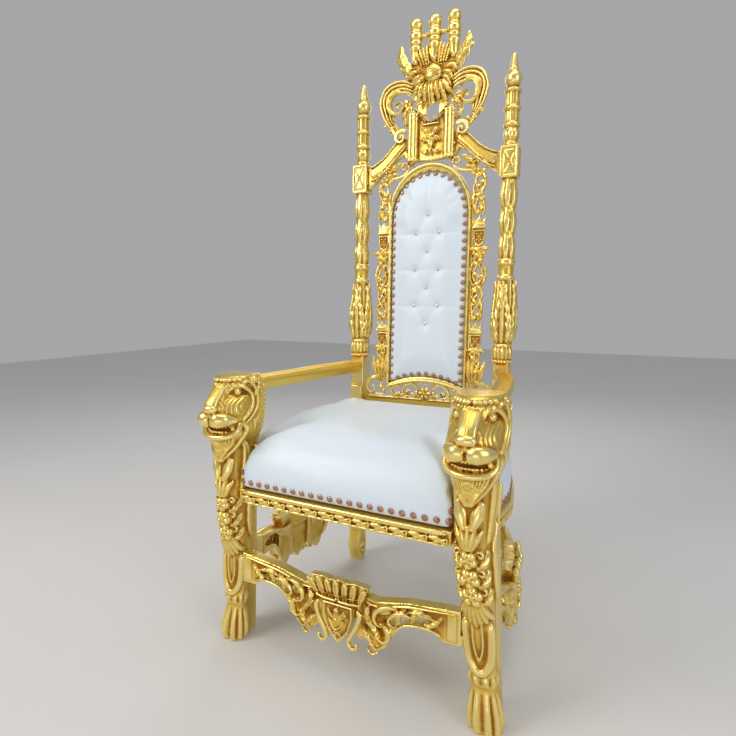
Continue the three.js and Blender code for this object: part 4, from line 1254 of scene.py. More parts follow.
# %% The great scroll
def great_scroll():
    shells = []
    for k in range(4):
        d = 10.5 * k
        points = [(60, 1622 - d * 0.9), (96, 1640 - d), (130, 1641 - d * 1.1), (160 - d * 0.5, 1626 - d),
                  (177 - d, 1588), (168 - d, 1545 + 0.3 * d), (150 - d * 0.6, 1512 + d * 0.4),
                  (132 - d * 0.4, 1492 + d)]
        shells.append(stroke([(x, -12 + 1.5 * k, z) for x, z in points], [5, 7, 7.5, 7.5, 7.5, 7, 6, 4],
                             [9, 13, 14, 14, 13, 11, 9], groove=0.2))
    curl = [(100, 1610), (128, 1612), (146, 1594), (147, 1566), (132, 1545), (110, 1544), (98, 1560),
            (106, 1577), (121, 1575), (122, 1562)]
    shells.append(stroke([(x, -14, z) for x, z in curl], [6, 11, 12, 12, 11, 9, 7, 6, 5, 4],
                         [9, 13, 14, 15, 15, 15, 15, 14], ribs=3, groove=0.25))
    shells.append(ball(115, -18, 1562, 9, 11, 9))
    for x, z, dx, dz in ((132, 1512, 14, -26), (118, 1508, 2, -24), (150, 1520, 22, -14)):
        shells.append(stroke([(x, -8, z), (x + dx * 0.5, -12, z + dz * 0.5), (x + dx, -6, z + dz)],
                             [8, 11, 4], 10, lobes=2, groove=0.4))
    shells.append(board([[66, 1612], [96, 1634], [130, 1636], [158, 1622], [170, 1588], [162, 1546],
                         [140, 1500], [126, 1500], [146, 1546], [150, 1588], [138, 1612], [112, 1620],
                         [84, 1604]], -8, 10))
    shells += spray(74, -10, 1568, 34, 4, 150, 11, 10, up=-40, lobes=2)
    shells.append(stroke([(60, -8, 1580), (86, -10, 1556), (92, -8, 1524), (80, -8, 1496)], [7, 13, 13, 8],
                         11, lobes=4, groove=0.4))
    shells.append(stroke([(140, -10, 1506), (128, -12, 1484), (112, -10, 1470)], [8, 9, 6], 10, ribs=2,
                         groove=0.3))
    return shells


print("pieces of one scroll:", len(great_scroll()))

# %% [markdown]
# The field of the shield is bare but for a plain device: a small crown of five points over leaves and a
# flower.

# %% Shield, colonettes and cornice
def shield_panel():
    device = [block(-28, 28, -24, -12, 1492, 1499), *[ball(x, -23, 1493, 4.5) for x in (-18, -9, 0, 9, 18)]]
    for x, top in ((-22, 1512), (-11, 1508), (0, 1506), (11, 1508), (22, 1512)):
        device.append(stroke([(x * 0.85, -16, 1496), (x, -18, top)], [3, 4.5], 7))
    device += [stroke([(0, -19, 1396), (0, -26, 1440), (0, -19, 1484)], [6, 13, 6], 10, lobes=4, groove=0.4),
               flower(0, -23, 1448, 16, 10, 5)]
    half = [stroke([(3, -19, 1430), (18, -24, 1452), (34, -20, 1440)], [6, 11, 6], 10, lobes=3, groove=0.4),
            stroke([(4, -19, 1450), (16, -24, 1474), (32, -20, 1482)], [6, 11, 6], 10, lobes=3, groove=0.4),
            stroke([(4, -19, 1420), (18, -24, 1408), (33, -19, 1416)], [6, 10, 5], 9, lobes=2, groove=0.4)]
    columns = []
    for x in (54, 67):
        columns.append(turned([[1388, 9.5], [1394, 9.5], [1398, 7.5], [1404, 8.4], [1512, 8.0], [1518, 9.5],
                               [1524, 8], [1532, 10]], x=x, y=-17, sides=24))
        columns.append(block(x - 7, x + 7, -25, 8, 1384, 1392))
    cornice = []
    for drop, out, thick in ((0, 18, 4), (9, 13, 3), (16, 9, 3)):
        cornice.append(stroke([(0, -out, 1512 - drop), (28, -out, 1522 - drop), (58, -out, 1553 - drop)],
                              thick, 9))
    leafy = spray(62, -16, 1536, 16, 4, 120, 5, 8, up=90)
    backing = board(even([[0, 1384], [72, 1388], [74, 1536], [56, 1552], [28, 1520], [0, 1508]]), -14, 12)
    return [*device, *both([*half, *columns, *cornice, *leafy]), backing]


print("pieces of the panel:", len(shield_panel()))

# %% [markdown]
# The rail is three mouldings side by side, a bead, a wide reeded band and a bead, on a sawn board. It
# starts in a spiral beside the shield and runs down and out to the post.

# %% The swan's neck rail
def swan_rail():
    top = [(74, 1500), (96, 1474), (125, 1448), (160, 1414), (192, 1394), (216, 1386)]
    shells = [board([[60, 1384], [70, 1372], [92, 1412], [130, 1396], [170, 1358], [204, 1326], [222, 1314],
                     [222, 1386], [192, 1395], [160, 1414], [125, 1447], [96, 1462], [72, 1470]], -14, 14)]
    for dx, dz, wide, high in ((0, -3, 5, 9), (-6, -25, 17, 6), (-12, -49, 5, 9)):
        points = [(x + dx * (1 - i / 5), -14, z + dz * (0.75 + 0.25 * i / 5))
                  for i, (x, z) in enumerate(top[1:])]
        shells.append(stroke(points, wide, high, groove=0.15, ribs=2 if wide > 9 else 0))
    shells.append(stroke([(86, -16, 1428), (66, -16, 1424), (54, -16, 1404), (58, -16, 1384), (70, -16, 1382),
                          (72, -16, 1394)], [6, 8, 8, 6, 4, 3], 11, ribs=2))
    shells.append(stroke([(x, -18, z) for x, _, z in volute(102, 0, 1466, 25, 4, 150, -1.4)], [10, 10, 7, 5],
                         [9, 11, 12, 13], ribs=2))
    shells.append(ball(102, -22, 1466, 8, 9, 8))
    shells.append(stroke([(80, -12, 1500), (92, -14, 1508), (106, -12, 1500)], [3, 6, 3], 9, lobes=2))
    shells.append(stroke([(x, -12, z) for x, _, z in volute(88, 0, 1372, 16, 3, 220, -1.3)], [6, 7, 5],
                         [9, 11, 11], ribs=1))
    shells += [stroke([(98, -8, 1392), (124, -12, 1376), (150, -8, 1348)], [7, 15, 7], 12, lobes=5,
                      groove=0.4),
               stroke([(110, -8, 1360), (132, -12, 1352), (158, -8, 1344)], [7, 12, 6], 11, lobes=3,
                      groove=0.4),
               stroke([(158, -10, 1382), (176, -12, 1362), (196, -10, 1336)], [6, 11, 6], 10, lobes=3,
                      groove=0.4), flower(152, -12, 1370, 15, 10, 5),
               stroke([(70, -8, 1366), (92, -8, 1348), (112, -8, 1342), (140, -8, 1342), (168, -8, 1352)],
                      [6, 8, 8, 8, 5], 9)]
    return shells


print("pieces of one rail:", len(swan_rail()))

# %% Carve the crest
crest_shells = [*coronet(), *palmette(), *helmet(), *both(great_scroll()), *shield_panel(),
                *both(swan_rail())]
carved("crest_carved", [leaned(s) for s in crest_shells], "crest", voxel=1.9, most=132000, swell=2.8)

# %% [markdown]
# ## Arms, rails and stretchers
# An arm is one moulding carried along a bowed line from the post to the lion's head: a flat top between two
# raised rims, rounded underneath. A function sweeps any section along a line, much as a curve with a bevel
# object does.

# %% Arms
def sweep(points, section, n=40, up=(0, 0, 1)):
    """A moulding along points from section corners given as (across, lift)."""
    path = smooth(points, n)
    ahead = unit(np.gradient(path, axis=0))
    across = unit(np.cross(ahead, np.asarray(up, float)))
    lift = unit(np.cross(across, ahead))
    s = np.asarray(section, float)
    rings = path[:, None, :] + across[:, None, :] * s[None, :, :1] + lift[:, None, :] * s[None, :, 1:]
    return skin(rings)


def cut_off(obj, y, keep_behind):
    """Saws a piece square at y, as the joint against the post or the stile."""
    active(obj)
    bpy.ops.object.mode_set(mode="EDIT")
    bpy.ops.mesh.select_all(action="SELECT")
    bpy.ops.mesh.bisect(plane_co=(0, y, 0), plane_no=(0, 1, 0), use_fill=True, clear_inner=keep_behind,
                        clear_outer=not keep_behind)
    bpy.ops.object.mode_set(mode="OBJECT")


print("points of a swept square:", len(sweep([(0, 0, 0), (0, 50, 0)], SQUARE)[0]))

# %% Shape the arms
SAW = 0.0001  # metres a saw cut stands inside the end of its solid
ARM_LINE = [(251, 573, 709), (268, 500, 709), (296, 400, 708), (317, 260, 707), (326, 150, 708),
            (325, 60, 709)]
ARM_SECTION = [(26, 4), (26, 14), (24, 19), (21, 21.5), (17, 20), (14.5, 16), (10, 15), (-10, 15),
               (-14.5, 16), (-17, 20), (-21, 21.5), (-24, 19), (-26, 14), (-26, 4), (-23, -4), (-19, -12),
               (-13, -18), (13, -18), (19, -12), (23, -4)]
arm = raw_mesh("arm_moulding_right", [sweep(ARM_LINE, ARM_SECTION, n=60)])
arm_low, arm_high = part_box("arm_right")
cut_off(arm, arm_low.y + SAW, True)
cut_off(arm, arm_high.y - SAW, False)
apply_modifier(arm, "BEVEL", width=1.2 * MM, segments=2, limit_method="ANGLE", angle_limit=math.radians(50))
arm.data.shade_smooth()
settle(arm, "arm_right")
other_side(arm, "arm_moulding_left", "arm_left")
print("arm faces:", len(arm.data.polygons))

# %% [markdown]
# The seat rails show a plain roll under the nails and a carved band below it: long leaves in a row, tied by
# a ribbon, over a small bead. The side rails bow outwards with the seat.

# %% The carved band
RAIL_LOW, RAIL_HIGH = 424, 459  # the carved band
STILE = 79  # back of the stile behind a front leg
SEAT_SIDE = [(50, 345), (130, 358), (200, 363), (300, 348), (400, 322), (500, 290), (563, 268)]


def seat_half(y):
    ys, xs = zip(*SEAT_SIDE)
    return np.interp(y, ys, xs)


def rail_band(low, high, count, place):
    """Long leaves tied by a ribbon, under a plain roll; place(u, out, z) puts a point at u along the rail."""
    shells = []
    face = place(0.5, 1, 0) - place(0.5, 0, 0)
    mid = low + 13
    for k in range(count):
        u0, um, u1 = (k + 0.04) / count, (k + 0.5) / count, (k + 0.96) / count
        shells.append(stroke([place(u0, 0, mid + 4), place(um, 2, mid + 2), place(u1, 0, mid - 5)],
                             [3, 7.5, 3], 5, ribs=2, facing=face, groove=0.35))
        shells.append(stroke([place(u0 + 0.2 / count, 0, mid - 7), place(um, 1, mid - 3),
                              place(u1, 1, mid + 6)], [2, 4, 2], 5, facing=face))
        shells.append(stroke([place(u1, 0, mid - 8), place(u1 + 0.04 / count, 2, mid), place(u1, 0, mid + 8)],
                             [2, 3, 2], 6, facing=face))
    for z, w, h in ((low + 3, 3.4, 5), (high - 6.5, 6.5, 6)):
        line = [place(u, 0, z) for u in np.linspace(0, 1, 30)]
        shells.append(stroke(line, w, h, facing=face))
    return shells


print("half the seat at y = 200:", float(seat_half(200)))

# %% [markdown]
# Both rails use the same band. It is told where a point at share u of its length lies, so it follows the
# straight front rail and the bowed side rails alike.

# %% Carve the rails
def front_rail():
    def place(u, out, z):
        return np.array([-276 + 552 * u, -30 - out, z])

    return [block(-282, 282, -28, 29, 424.5, 458), *rail_band(RAIL_LOW, RAIL_HIGH, 12, place)]


def side_rail():
    def place(u, out, z):
        y = 82 + 448 * u
        return np.array([seat_half(y) - 4 + out, y, z])

    line = [(seat_half(y) - 16, y, 441.5) for y in np.linspace(72, 570, 26)]
    body = sweep(line, [(14, -17), (14, 17), (-14, 17), (-14, -17)], n=60)
    return [body, *rail_band(RAIL_LOW, RAIL_HIGH, 10, place)]


carved("front_rail_carved", front_rail(), "front_rail", voxel=1.8, most=34000, swell=0.4)
side = carved("side_rail_carved_right", side_rail(), "side_rail_right", voxel=2.2, most=22000)
side_low, side_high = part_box("side_rail_right")
cut_off(side, side_low.y + 2 * SAW, True)
cut_off(side, side_high.y - 2 * SAW, False)
other_side(side, "side_rail_carved_left", "side_rail_left")

# %% [markdown]
# The front stretcher joins the legs below the seat: two square ends, an arched and pierced board with
# leaves running inwards, and in the middle a flared coronet over a pointed shield held by scrolls. The side
# stretchers carry the same work on a shorter board that bows outwards, so they are the same drawing put
# through a bend.

# %% The pierced stretcher
STRETCHER_HALF = 299


def stretcher(scale=1.0):
    y = -4

    def line(points, *args, **kind):
        return stroke([(x * scale if abs(x) > 64 else x, yy, z) for x, yy, z in points], *args, **kind)

    half = [board([[x * scale, z]
                   for x, z in [[58, 240], [100, 236], [180, 255], [262, 264], [299, 268], [299, 188],
                                [262, 188], [246, 200], [214, 214], [236, 226], [205, 240], [160, 236],
                                [128, 214], [100, 206], [70, 190]]], -2, 22),
            board([[x * scale, z]
                   for x, z in [[246, 200], [262, 188], [299, 188], [299, 200], [262, 204], [236, 214],
                                [206, 214], [170, 206], [146, 186], [126, 150], [140, 160], [165, 196],
                                [206, 205]]], -2, 22), block(263 * scale, 299 * scale, -5, 24, 188, 268),
            *([block(290, 306, -2, 22, 188, 214)] if scale == 1 else []),
            line([(296, y, 262), (262, y, 259), (180, y - 2, 250), (100, y - 2, 231), (66, y, 236)],
                 [4, 5, 6, 5, 4], 8, ribs=1),
            line([(260, y, 196), (240, y, 208), (206, y - 2, 210), (168, y - 4, 201), (142, y - 6, 176),
                  (128, y - 6, 150), (108, y - 6, 128), (92, y - 6, 122)], [4, 5, 6, 6, 6, 5, 4, 4], 9,
                 ribs=2),
            line([(250, y, 232), (228, y - 3, 240), (200, y - 6, 244), (176, y - 4, 238)], [4, 8, 9, 3], 10,
                 lobes=5, groove=0.4),
            line([(200, y, 224), (172, y - 6, 232), (146, y - 8, 224), (134, y - 8, 206), (148, y - 8, 196),
                  (158, y - 8, 206)], [3, 6, 8, 7, 5, 3], 11, ribs=2),
            line([(160, y, 236), (130, y - 6, 238), (104, y - 10, 222), (100, y - 10, 200),
                  (116, y - 10, 190), (124, y - 10, 202)], [3, 7, 9, 8, 5, 3], 12, ribs=2),
            line([(110, y - 2, 196), (130, y - 8, 184), (134, y - 8, 162), (120, y - 8, 150),
                  (106, y - 8, 160), (110, y - 8, 172)], [4, 8, 9, 7, 5, 3], 12, ribs=2),
            line([(64, y, 204), (84, y - 8, 190), (104, y - 8, 164), (112, y - 4, 138)], [6, 10, 9, 3], 11,
                 lobes=5, groove=0.4),
            line([(60, y, 170), (76, y - 6, 154), (92, y - 8, 134), (104, y - 4, 118)], [5, 9, 8, 3], 10,
                 lobes=4, groove=0.4),
            line([(108, y - 4, 118), (92, y - 6, 110), (80, y - 6, 120), (86, y - 6, 132), (96, y - 6, 128)],
                 [4, 5, 4, 3, 2], 9, ribs=1),
            line([(262, y, 246), (240, y - 4, 226), (222, y - 6, 216)], [5, 11, 6], 10, lobes=3, groove=0.4),
            line([(214, y, 252), (196, y - 6, 234), (190, y - 6, 216)], [6, 12, 6], 10, lobes=3, groove=0.4),
            line([(176, y, 244), (158, y - 8, 224), (160, y - 8, 204)], [6, 13, 6], 11, lobes=3, groove=0.4),
            line([(84, y, 232), (78, y - 8, 212), (84, y - 8, 192)], [6, 11, 6], 11, lobes=3, groove=0.4),
            line([(150, y, 196), (136, y - 8, 176), (124, y - 8, 150)], [7, 12, 5], 11, lobes=4, groove=0.4),
            line([(96, y, 176), (104, y - 8, 156), (96, y - 8, 138)], [6, 11, 6], 11, lobes=3, groove=0.4),
            board([[x * scale, z]
                   for x, z in [[50, 234], [100, 234], [134, 222], [138, 190], [130, 152], [118, 124],
                                [98, 112], [82, 118], [66, 134], [52, 126], [42, 140], [46, 190]]], 2, 20),
            block(270 * scale, 292 * scale, -8, -2, 196, 260)]
    return both(half)


print("pieces of a stretcher:", len(stretcher()))

# %% [markdown]
# Seven flared plumes with beaded tips make the coronet. The shield below it has a raised rim and two plain
# chevrons.

# %% Coronet and shield
def coronet_and_shield():
    y = -14
    half = []
    for x, top, w in ((0, 276, 11), (22, 272, 11), (44, 274, 11), (68, 268, 11)):
        if x:
            half.append(stroke([(x * 0.86, y + 4, 226), (x, y - 6, 250), (x * 1.13, y - 10, top)],
                               [w * 0.75, w, w * 0.85], 9, ribs=2, groove=0.4))
            half.append(ball(x * 1.13, y - 11, top - 1, 7, 6, 6))
    half += [stroke([(0, y - 3, 222), (34, y - 3, 222), (64, y + 2, 224)], [5, 5, 4], 8),
             stroke([(0, y - 6, 236), (34, y - 6, 236), (70, y - 2, 240)], [2.5, 2.5, 2], 6),
             stroke([(50, y + 2, 212), (60, y, 196), (52, y - 2, 168), (38, y - 2, 142), (30, y - 2, 122),
                     (42, y - 4, 110), (54, y - 2, 118), (48, y - 2, 128)], [6, 9, 8, 8, 8, 7, 6, 4], 10,
                    ribs=2)]
    middle = [stroke([(0, y + 4, 226), (0, y - 8, 250), (0, y - 10, 276)], [8, 11, 9], 10, ribs=2,
                     groove=0.4), ball(0, y - 12, 275, 7, 6, 6)]
    outline = [(-42, 214), (-42, 182), (-30, 142), (0, 108), (30, 142), (42, 182), (42, 214)]
    field = rimmed(outline, 0, y, 176, rim=7, dome=7, back=22, edge=0.86)
    device = [stroke([(-26, y - 9, 204), (0, y - 13, 180), (26, y - 9, 204)], 4, 6),
              stroke([(-22, y - 9, 178), (0, y - 12, 152), (22, y - 9, 178)], 4, 6),
              flower(0, y - 9, 198, 9, 6, 5), *spray(0, y - 8, 150, 22, 3, 90, 4, 6, up=-90),
              *both([flower(20, y - 8, 190, 8, 5, 5)])]
    crown = [(-62, 220), (62, 220), (82, 268), (44, 272), (22, 268), (0, 272), (-22, 268), (-44, 272),
             (-82, 268)]
    return [*both(half), *middle, field, *device, board(crown, y + 2, 10)]


print("pieces of coronet and shield:", len(coronet_and_shield()))

# %% [markdown]
# For the side the same drawing is shortened and turned round: what ran across the chair now runs from the
# front leg to the back post, and bows outwards as the seat does.

# %% Bend and carve the stretchers
def bend_side(shell, scale):
    """Takes a stretcher drawn across the front round to the side, bowed outwards."""
    v = shell[0].copy()
    post = BACK_Y + LEAN * RAIL_LOW - 47
    middle, half = (post + STILE) / 2, (post - STILE) / 2
    y = middle + v[:, 0] * half / (STRETCHER_HALF * scale)
    x = np.interp(y, [79, 180, 290, 400, 480, 531], [343, 353, 348, 322, 292, 262])
    return np.stack([x - v[:, 1], y, v[:, 2]], 1), [face[::-1] for face in shell[1]]


carved("front_stretcher_carved", [*stretcher(), *coronet_and_shield()], "front_stretcher", voxel=2.0,
                         most=86000, swell=2.0)
SIDE_SCALE = 0.76
side_shells = [bend_side(s, SIDE_SCALE) for s in [*stretcher(SIDE_SCALE), *coronet_and_shield()]]
stretcher_side = carved("side_stretcher_carved_right", side_shells, "side_stretcher_right", voxel=2.3,
                        most=44000, swell=2.0)
other_side(stretcher_side, "side_stretcher_carved_left", "side_stretcher_left")

# %% [markdown]
# ## Upholstery
# The seat is foam under tight white leatherette, pulled down to the rails on all sides and notched round
# the legs. A shape slightly smaller than the finished seat is remeshed evenly and blown up as cloth, which
# gives the crown and the soft corners; how far any point may move is capped, and it never sinks below the
# rails.

# %% Inflate a pad
CLOTH_FRAMES = 20
PRESSURE = 4.0
CAP = 0.012  # metres that any point of a cushion may move


def inflate(obj, pressure, cap, hold):
    """Cloth pressure with no gravity; hold(points) says which points stay, from 0 to 1."""
    rest = read_points(obj.data, "co").astype(float)
    keep = hold(rest)
    group = obj.vertex_groups.new(name="held")
    for i in np.nonzero(keep > 0.5)[0]:
        group.add([int(i)], 1.0, "REPLACE")
    active(obj)
    cloth = obj.modifiers.new("inflate", "CLOTH")
    cloth.settings.use_pressure = True
    cloth.settings.uniform_pressure_force = pressure
    cloth.settings.effector_weights.gravity = 0
    cloth.settings.vertex_group_mass = "held"
    cloth.settings.tension_stiffness = 25
    cloth.settings.bending_stiffness = 3
    for frame_number in range(1, CLOTH_FRAMES + 1):
        bpy.context.scene.frame_set(frame_number)
    shown = obj.evaluated_get(bpy.context.evaluated_depsgraph_get()).to_mesh()
    move = read_points(shown, "co").astype(float) - rest
    bpy.context.scene.frame_set(1)
    obj.modifiers.remove(cloth)
    far = np.linalg.norm(move, axis=1, keepdims=True)
    move = move * np.minimum(1, cap / np.maximum(far, 1e-9)) * (1 - keep[:, None])
    a, b, count = neighbours(obj.data)
    for _ in range(3):
        move = np.stack([averaged(move[:, i], a, b, count) for i in range(3)], 1)
    print(obj.name, "moved at most", round(float(np.linalg.norm(move, axis=1).max()) / MM, 1), "mm")
    return rest + move


print("cushions are blown up for", CLOTH_FRAMES, "frames")

# %% [markdown]
# The seat rises from its foot at the rails to a flat crown, higher towards the back. It is drawn in rings
# pulled in more and more, and kept clear of the manes beside its front corners.

# %% Seat shape
seat_low, seat_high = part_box("seat_cushion")
INNER = 287  # half the seat between the manes
FRONT_EDGE = -31
SEAT_MIDDLE = 254  # every ring is pulled in towards this line
SEAT_REACH = 300
REAR_LIFT = 36  # how much higher the crown stands at the back
MANE_DROP = 16  # how much lower it stays beside a mane
SEAT_PROFILE = [[460, 4], [470, 2], [490, 0], [515, 0], [534, 1], [550, 5], [564, 12], [577, 24], [588, 43],
                [597, 74], [603, 118], [606, 180]]


def seat_outline():
    half = [(0, FRONT_EDGE), (INNER - 8, FRONT_EDGE), (INNER, FRONT_EDGE + 8), (INNER - 4, -8),
            (INNER - 5, STILE)]
    half += [(seat_half(y), y) for y in (STILE + 1, 130, 200, 300, 400, 500)]
    half += [(276, 534), (268, 540), (0, 540)]
    return half + [(-x, y) for x, y in half[-2:0:-1]]


def seat_shell(shrink):
    base = np.asarray(seat_outline(), float)
    rings = []
    for z, pull in SEAT_PROFILE:
        ring = base * (1 - (pull + shrink) / SEAT_REACH)
        ring[:, 1] += SEAT_MIDDLE * (pull + shrink) / SEAT_REACH
        high = np.clip((z - 500) / 60, 0, 1)
        rim = 1 - min(1, pull / 190)
        lift = REAR_LIFT * rim * np.clip((ring[:, 1] - 180) / 360, 0, 1)
        beside = np.clip((np.abs(ring[:, 0]) - 236) / 30, 0, 1)
        near_mane = MANE_DROP * beside * np.clip((95 - ring[:, 1]) / 40, 0, 1)
        rings.append(np.c_[ring, z + high * (lift - near_mane)])
    return skin(np.stack(rings))


SEAT_SHRINK = 5  # millimetres left for the cloth to fill
print("points of the seat shape:", len(seat_shell(SEAT_SHRINK)[0]))

# %% Blow up the seat
SEAT_VOXEL = 0.006
seat = raw_mesh("seat_upholstery", [seat_shell(SEAT_SHRINK)])
active(seat)
seat.data.remesh_voxel_size = SEAT_VOXEL
bpy.ops.object.voxel_remesh()
apply_modifier(seat, "SMOOTH", factor=0.5, iterations=14)
HELD = 12  # millimetres at the foot of the seat, and of depth in the back, that the tacks hold
points = inflate(seat, PRESSURE, CAP, lambda p: (p[:, 2] < seat_low.z + HELD * MM).astype(float))
points[:, 2] = np.clip(points[:, 2], seat_low.z + 0.0005, seat_high.z + 0.002)
points[:, 1] = np.maximum(points[:, 1], seat_low.y - 0.004)
beside_mane = points[:, 1] < paw_line + 76 * MM
room = np.interp(points[:, 2] / MM, [500, 532], [INNER + 2, 265]) * MM
points[:, 0] = np.where(beside_mane, np.clip(points[:, 0], -room, room), points[:, 0])
put_points(seat, points)
apply_modifier(seat, "SMOOTH", factor=0.5, iterations=6)
apply_modifier(seat, "SUBSURF", levels=1)
apply_modifier(seat, "DECIMATE", ratio=0.2)
seat.data.shade_smooth()
settle(seat, "seat_cushion", "upholstery")
print("seat faces:", len(seat.data.polygons))

# %% [markdown]
# The back pad is the same leatherette over thin foam, with ten crystal buttons pulled into it: four down
# the middle and three pairs between them. From each pair a crease runs out to the edge, and one runs up and
# one down from the middle row. The pad is blown up first and the tufts are pulled in after, point by point.

# %% Blow up the back pad
PAD_VOXEL = 0.004
pad_outline = arch(127.5, 663, 29, 1215, 1348)
pad_rings = []
for y, pull in ((11, 2), (-6, 0.5), (-14, 1.0), (-19, 4.0), (-22, 10)):
    middle = np.array([0.0, 1010.0])
    scale = 1 - pull / np.array([128.0, 340.0])
    ring = middle + (pad_outline - middle) * scale
    pad_rings.append(np.stack([ring[:, 0], np.full(len(ring), y), ring[:, 1]], 1))
pad = raw_mesh("back_upholstery", [leaned(skin(np.stack(pad_rings)[::-1]))])
active(pad)
pad.data.remesh_voxel_size = PAD_VOXEL
bpy.ops.object.voxel_remesh()


def out_of_back(p):
    """How far points stand in front of the middle plane of the back, in millimetres."""
    z = p[:, 2] / MM
    return (BACK_Y + LEAN * z) - (p[:, 1] - paw_line) / MM


points = inflate(pad, PRESSURE, CAP, lambda p: (out_of_back(p) < HELD).astype(float))
print("points of the pad:", len(points))

# %% Pull in the tufts
BUTTON_PITCH = 116
BUTTON_LOW = 864
BUTTON_SIDE = 39
DIMPLE, HOLLOW, PLEAT, SIDE_CREASE, END_CREASE = 6.0, 3.4, 0.9, 2.4, 2.2  # depths in millimetres
NEXT_BUTTON = 80  # pleats join buttons nearer than this
BUTTONS = [(0, BUTTON_LOW + BUTTON_PITCH * k) for k in range(4)]
BUTTONS += [(s * BUTTON_SIDE, BUTTON_LOW + BUTTON_PITCH * (k + 0.5)) for k in range(3) for s in (-1, 1)]
x, z = points[:, 0] / MM, points[:, 2] / MM
out = out_of_back(points)
front_share = np.clip((out - 16) / 6, 0, 1)
dent = np.zeros(len(points))
for bx, bz in BUTTONS:
    d = np.hypot(x - bx, z - bz)
    dent += DIMPLE * np.exp(-((d / 11) ** 2)) + HOLLOW * np.exp(-((d / 26) ** 2))
    for ox, oz in BUTTONS:
        gap = math.hypot(ox - bx, oz - bz)
        if 1 < gap < NEXT_BUTTON and (ox, oz) > (bx, bz):
            t = np.clip(((x - bx) * (ox - bx) + (z - bz) * (oz - bz)) / gap**2, 0, 1)
            off = np.hypot(x - bx - t * (ox - bx), z - bz - t * (oz - bz))
            dent += PLEAT * np.exp(-((off / 5) ** 2))
    if bx:
        outward = np.clip((x * np.sign(bx) - BUTTON_SIDE) / 84, 0, 1)
        crease = SIDE_CREASE * np.exp(-(((z - bz) / 4.5) ** 2))
        dent += crease * (x * np.sign(bx) > BUTTON_SIDE) * (1 - outward * 0.5)
for bz, sign in ((BUTTON_LOW, -1), (BUTTON_LOW + 3 * BUTTON_PITCH, 1)):
    beyond = (z - bz) * sign
    dent += END_CREASE * np.exp(-((x / 4.5) ** 2)) * (beyond > 0) * np.clip(1 - beyond / 150, 0, 1)
points[:, 1] += dent * front_share * MM
put_points(pad, points)
apply_modifier(pad, "SMOOTH", factor=0.4, iterations=2)
apply_modifier(pad, "SUBSURF", levels=1)
apply_modifier(pad, "DECIMATE", ratio=0.22)
pad.data.shade_smooth()
settle(pad, "back_pad", "upholstery")
print("back pad faces:", len(pad.data.polygons), "and its face stands out", round(float(out.max()), 1), "mm")

# %% [markdown]
# ## Nails and buttons
# Domed nails, about 16 mm across, tack the leatherette down along its edges, some 26 mm apart. One is made
# from a sphere that is sawn flat and flattened; the rest are copies of its points set along each edge.

# %% One nail
NAIL_RADIUS = 7.9
NAIL_DOME = 0.72  # height of the dome as a share of its half sphere
bpy.ops.object.select_all(action="DESELECT")
bpy.ops.mesh.primitive_uv_sphere_add(segments=12, ring_count=8, radius=NAIL_RADIUS * MM,
                                     location=(0, 0, 0))
nail_model = bpy.context.object
bpy.ops.object.mode_set(mode="EDIT")
bpy.ops.mesh.select_all(action="SELECT")
bpy.ops.mesh.bisect(plane_co=(0, 0, 0.4 * MM), plane_no=(0, 0, 1), use_fill=True, clear_inner=True)
bpy.ops.mesh.select_all(action="SELECT")
bpy.ops.transform.resize(value=(1, 1, NAIL_DOME), center_override=(0, 0, 0))
bpy.ops.mesh.normals_make_consistent(inside=False)
bpy.ops.object.mode_set(mode="OBJECT")
nail_points = np.array([v.co[:] for v in nail_model.data.vertices]) / MM
nail_faces = [list(p.vertices) for p in nail_model.data.polygons]
bpy.data.objects.remove(nail_model)


print("faces of a nail:", len(nail_faces))

# %% [markdown]
# Each place is found by sending a ray at the finished cushion, so the nail sits on the leatherette and
# points out of it.

# %% Places for nails
def nail_at(place, out):
    """A nail with its dome along out."""
    out = unit(np.asarray(out, float))
    side = unit(np.cross(out, (0.3, 0.2, 1.0)))
    other = np.cross(out, side)
    v = nail_points
    return np.asarray(place, float) + v[:, :1] * side + v[:, 1:2] * other + v[:, 2:] * out, nail_faces


def spread(points, pitch):
    """Evenly spaced places along a line."""
    line = smooth(points, 400)
    far = np.r_[0, np.cumsum(np.linalg.norm(np.diff(line, axis=0), axis=1))]
    count = max(2, int(round(far[-1] / pitch)) + 1)
    at = np.linspace(0, far[-1], count)
    return np.stack([np.interp(at, far, line[:, i]) for i in range(3)], 1)


def on_surface(obj, start, toward):
    """Where a ray from start meets a piece, in millimetres, and which way the surface faces there."""
    eye = Vector((start[0] * MM, start[1] * MM + paw_line, start[2] * MM))
    hit, place, normal, _ = obj.ray_cast(eye, Vector(toward).normalized())
    if not hit:
        return None
    return np.array([place.x / MM, (place.y - paw_line) / MM, place.z / MM]), np.array(normal[:])


NAIL_PITCH = 26
print("places along 260 mm:", len(spread([(0, 0, 0), (130, 0, 0), (260, 0, 0)], NAIL_PITCH)))

# %% Nails round the seat
nails = []
rows = [([(x, -90, 477) for x in (-274, 0, 274)], (0, 1, 0))]
for s in (-1, 1):
    rows.append(([(s * (seat_half(y) + 60), y, 473) for y in (92, 150, 200, 300, 400, 500, 528)], (-s, 0, 0)))
    rows.append(([(s * 277, -90, z) for z in (499, 551)], (0, 1, 0)))
for points, toward in rows:
    for place in spread(points, NAIL_PITCH):
        found = on_surface(seat, place, toward)
        if found is not None:
            nails.append(nail_at(found[0] - 0.4 * found[1], found[1]))
print("seat nails:", len(nails))
seat_nails = raw_mesh("seat_nails", nails)
settle(seat_nails, None, "nail_heads")

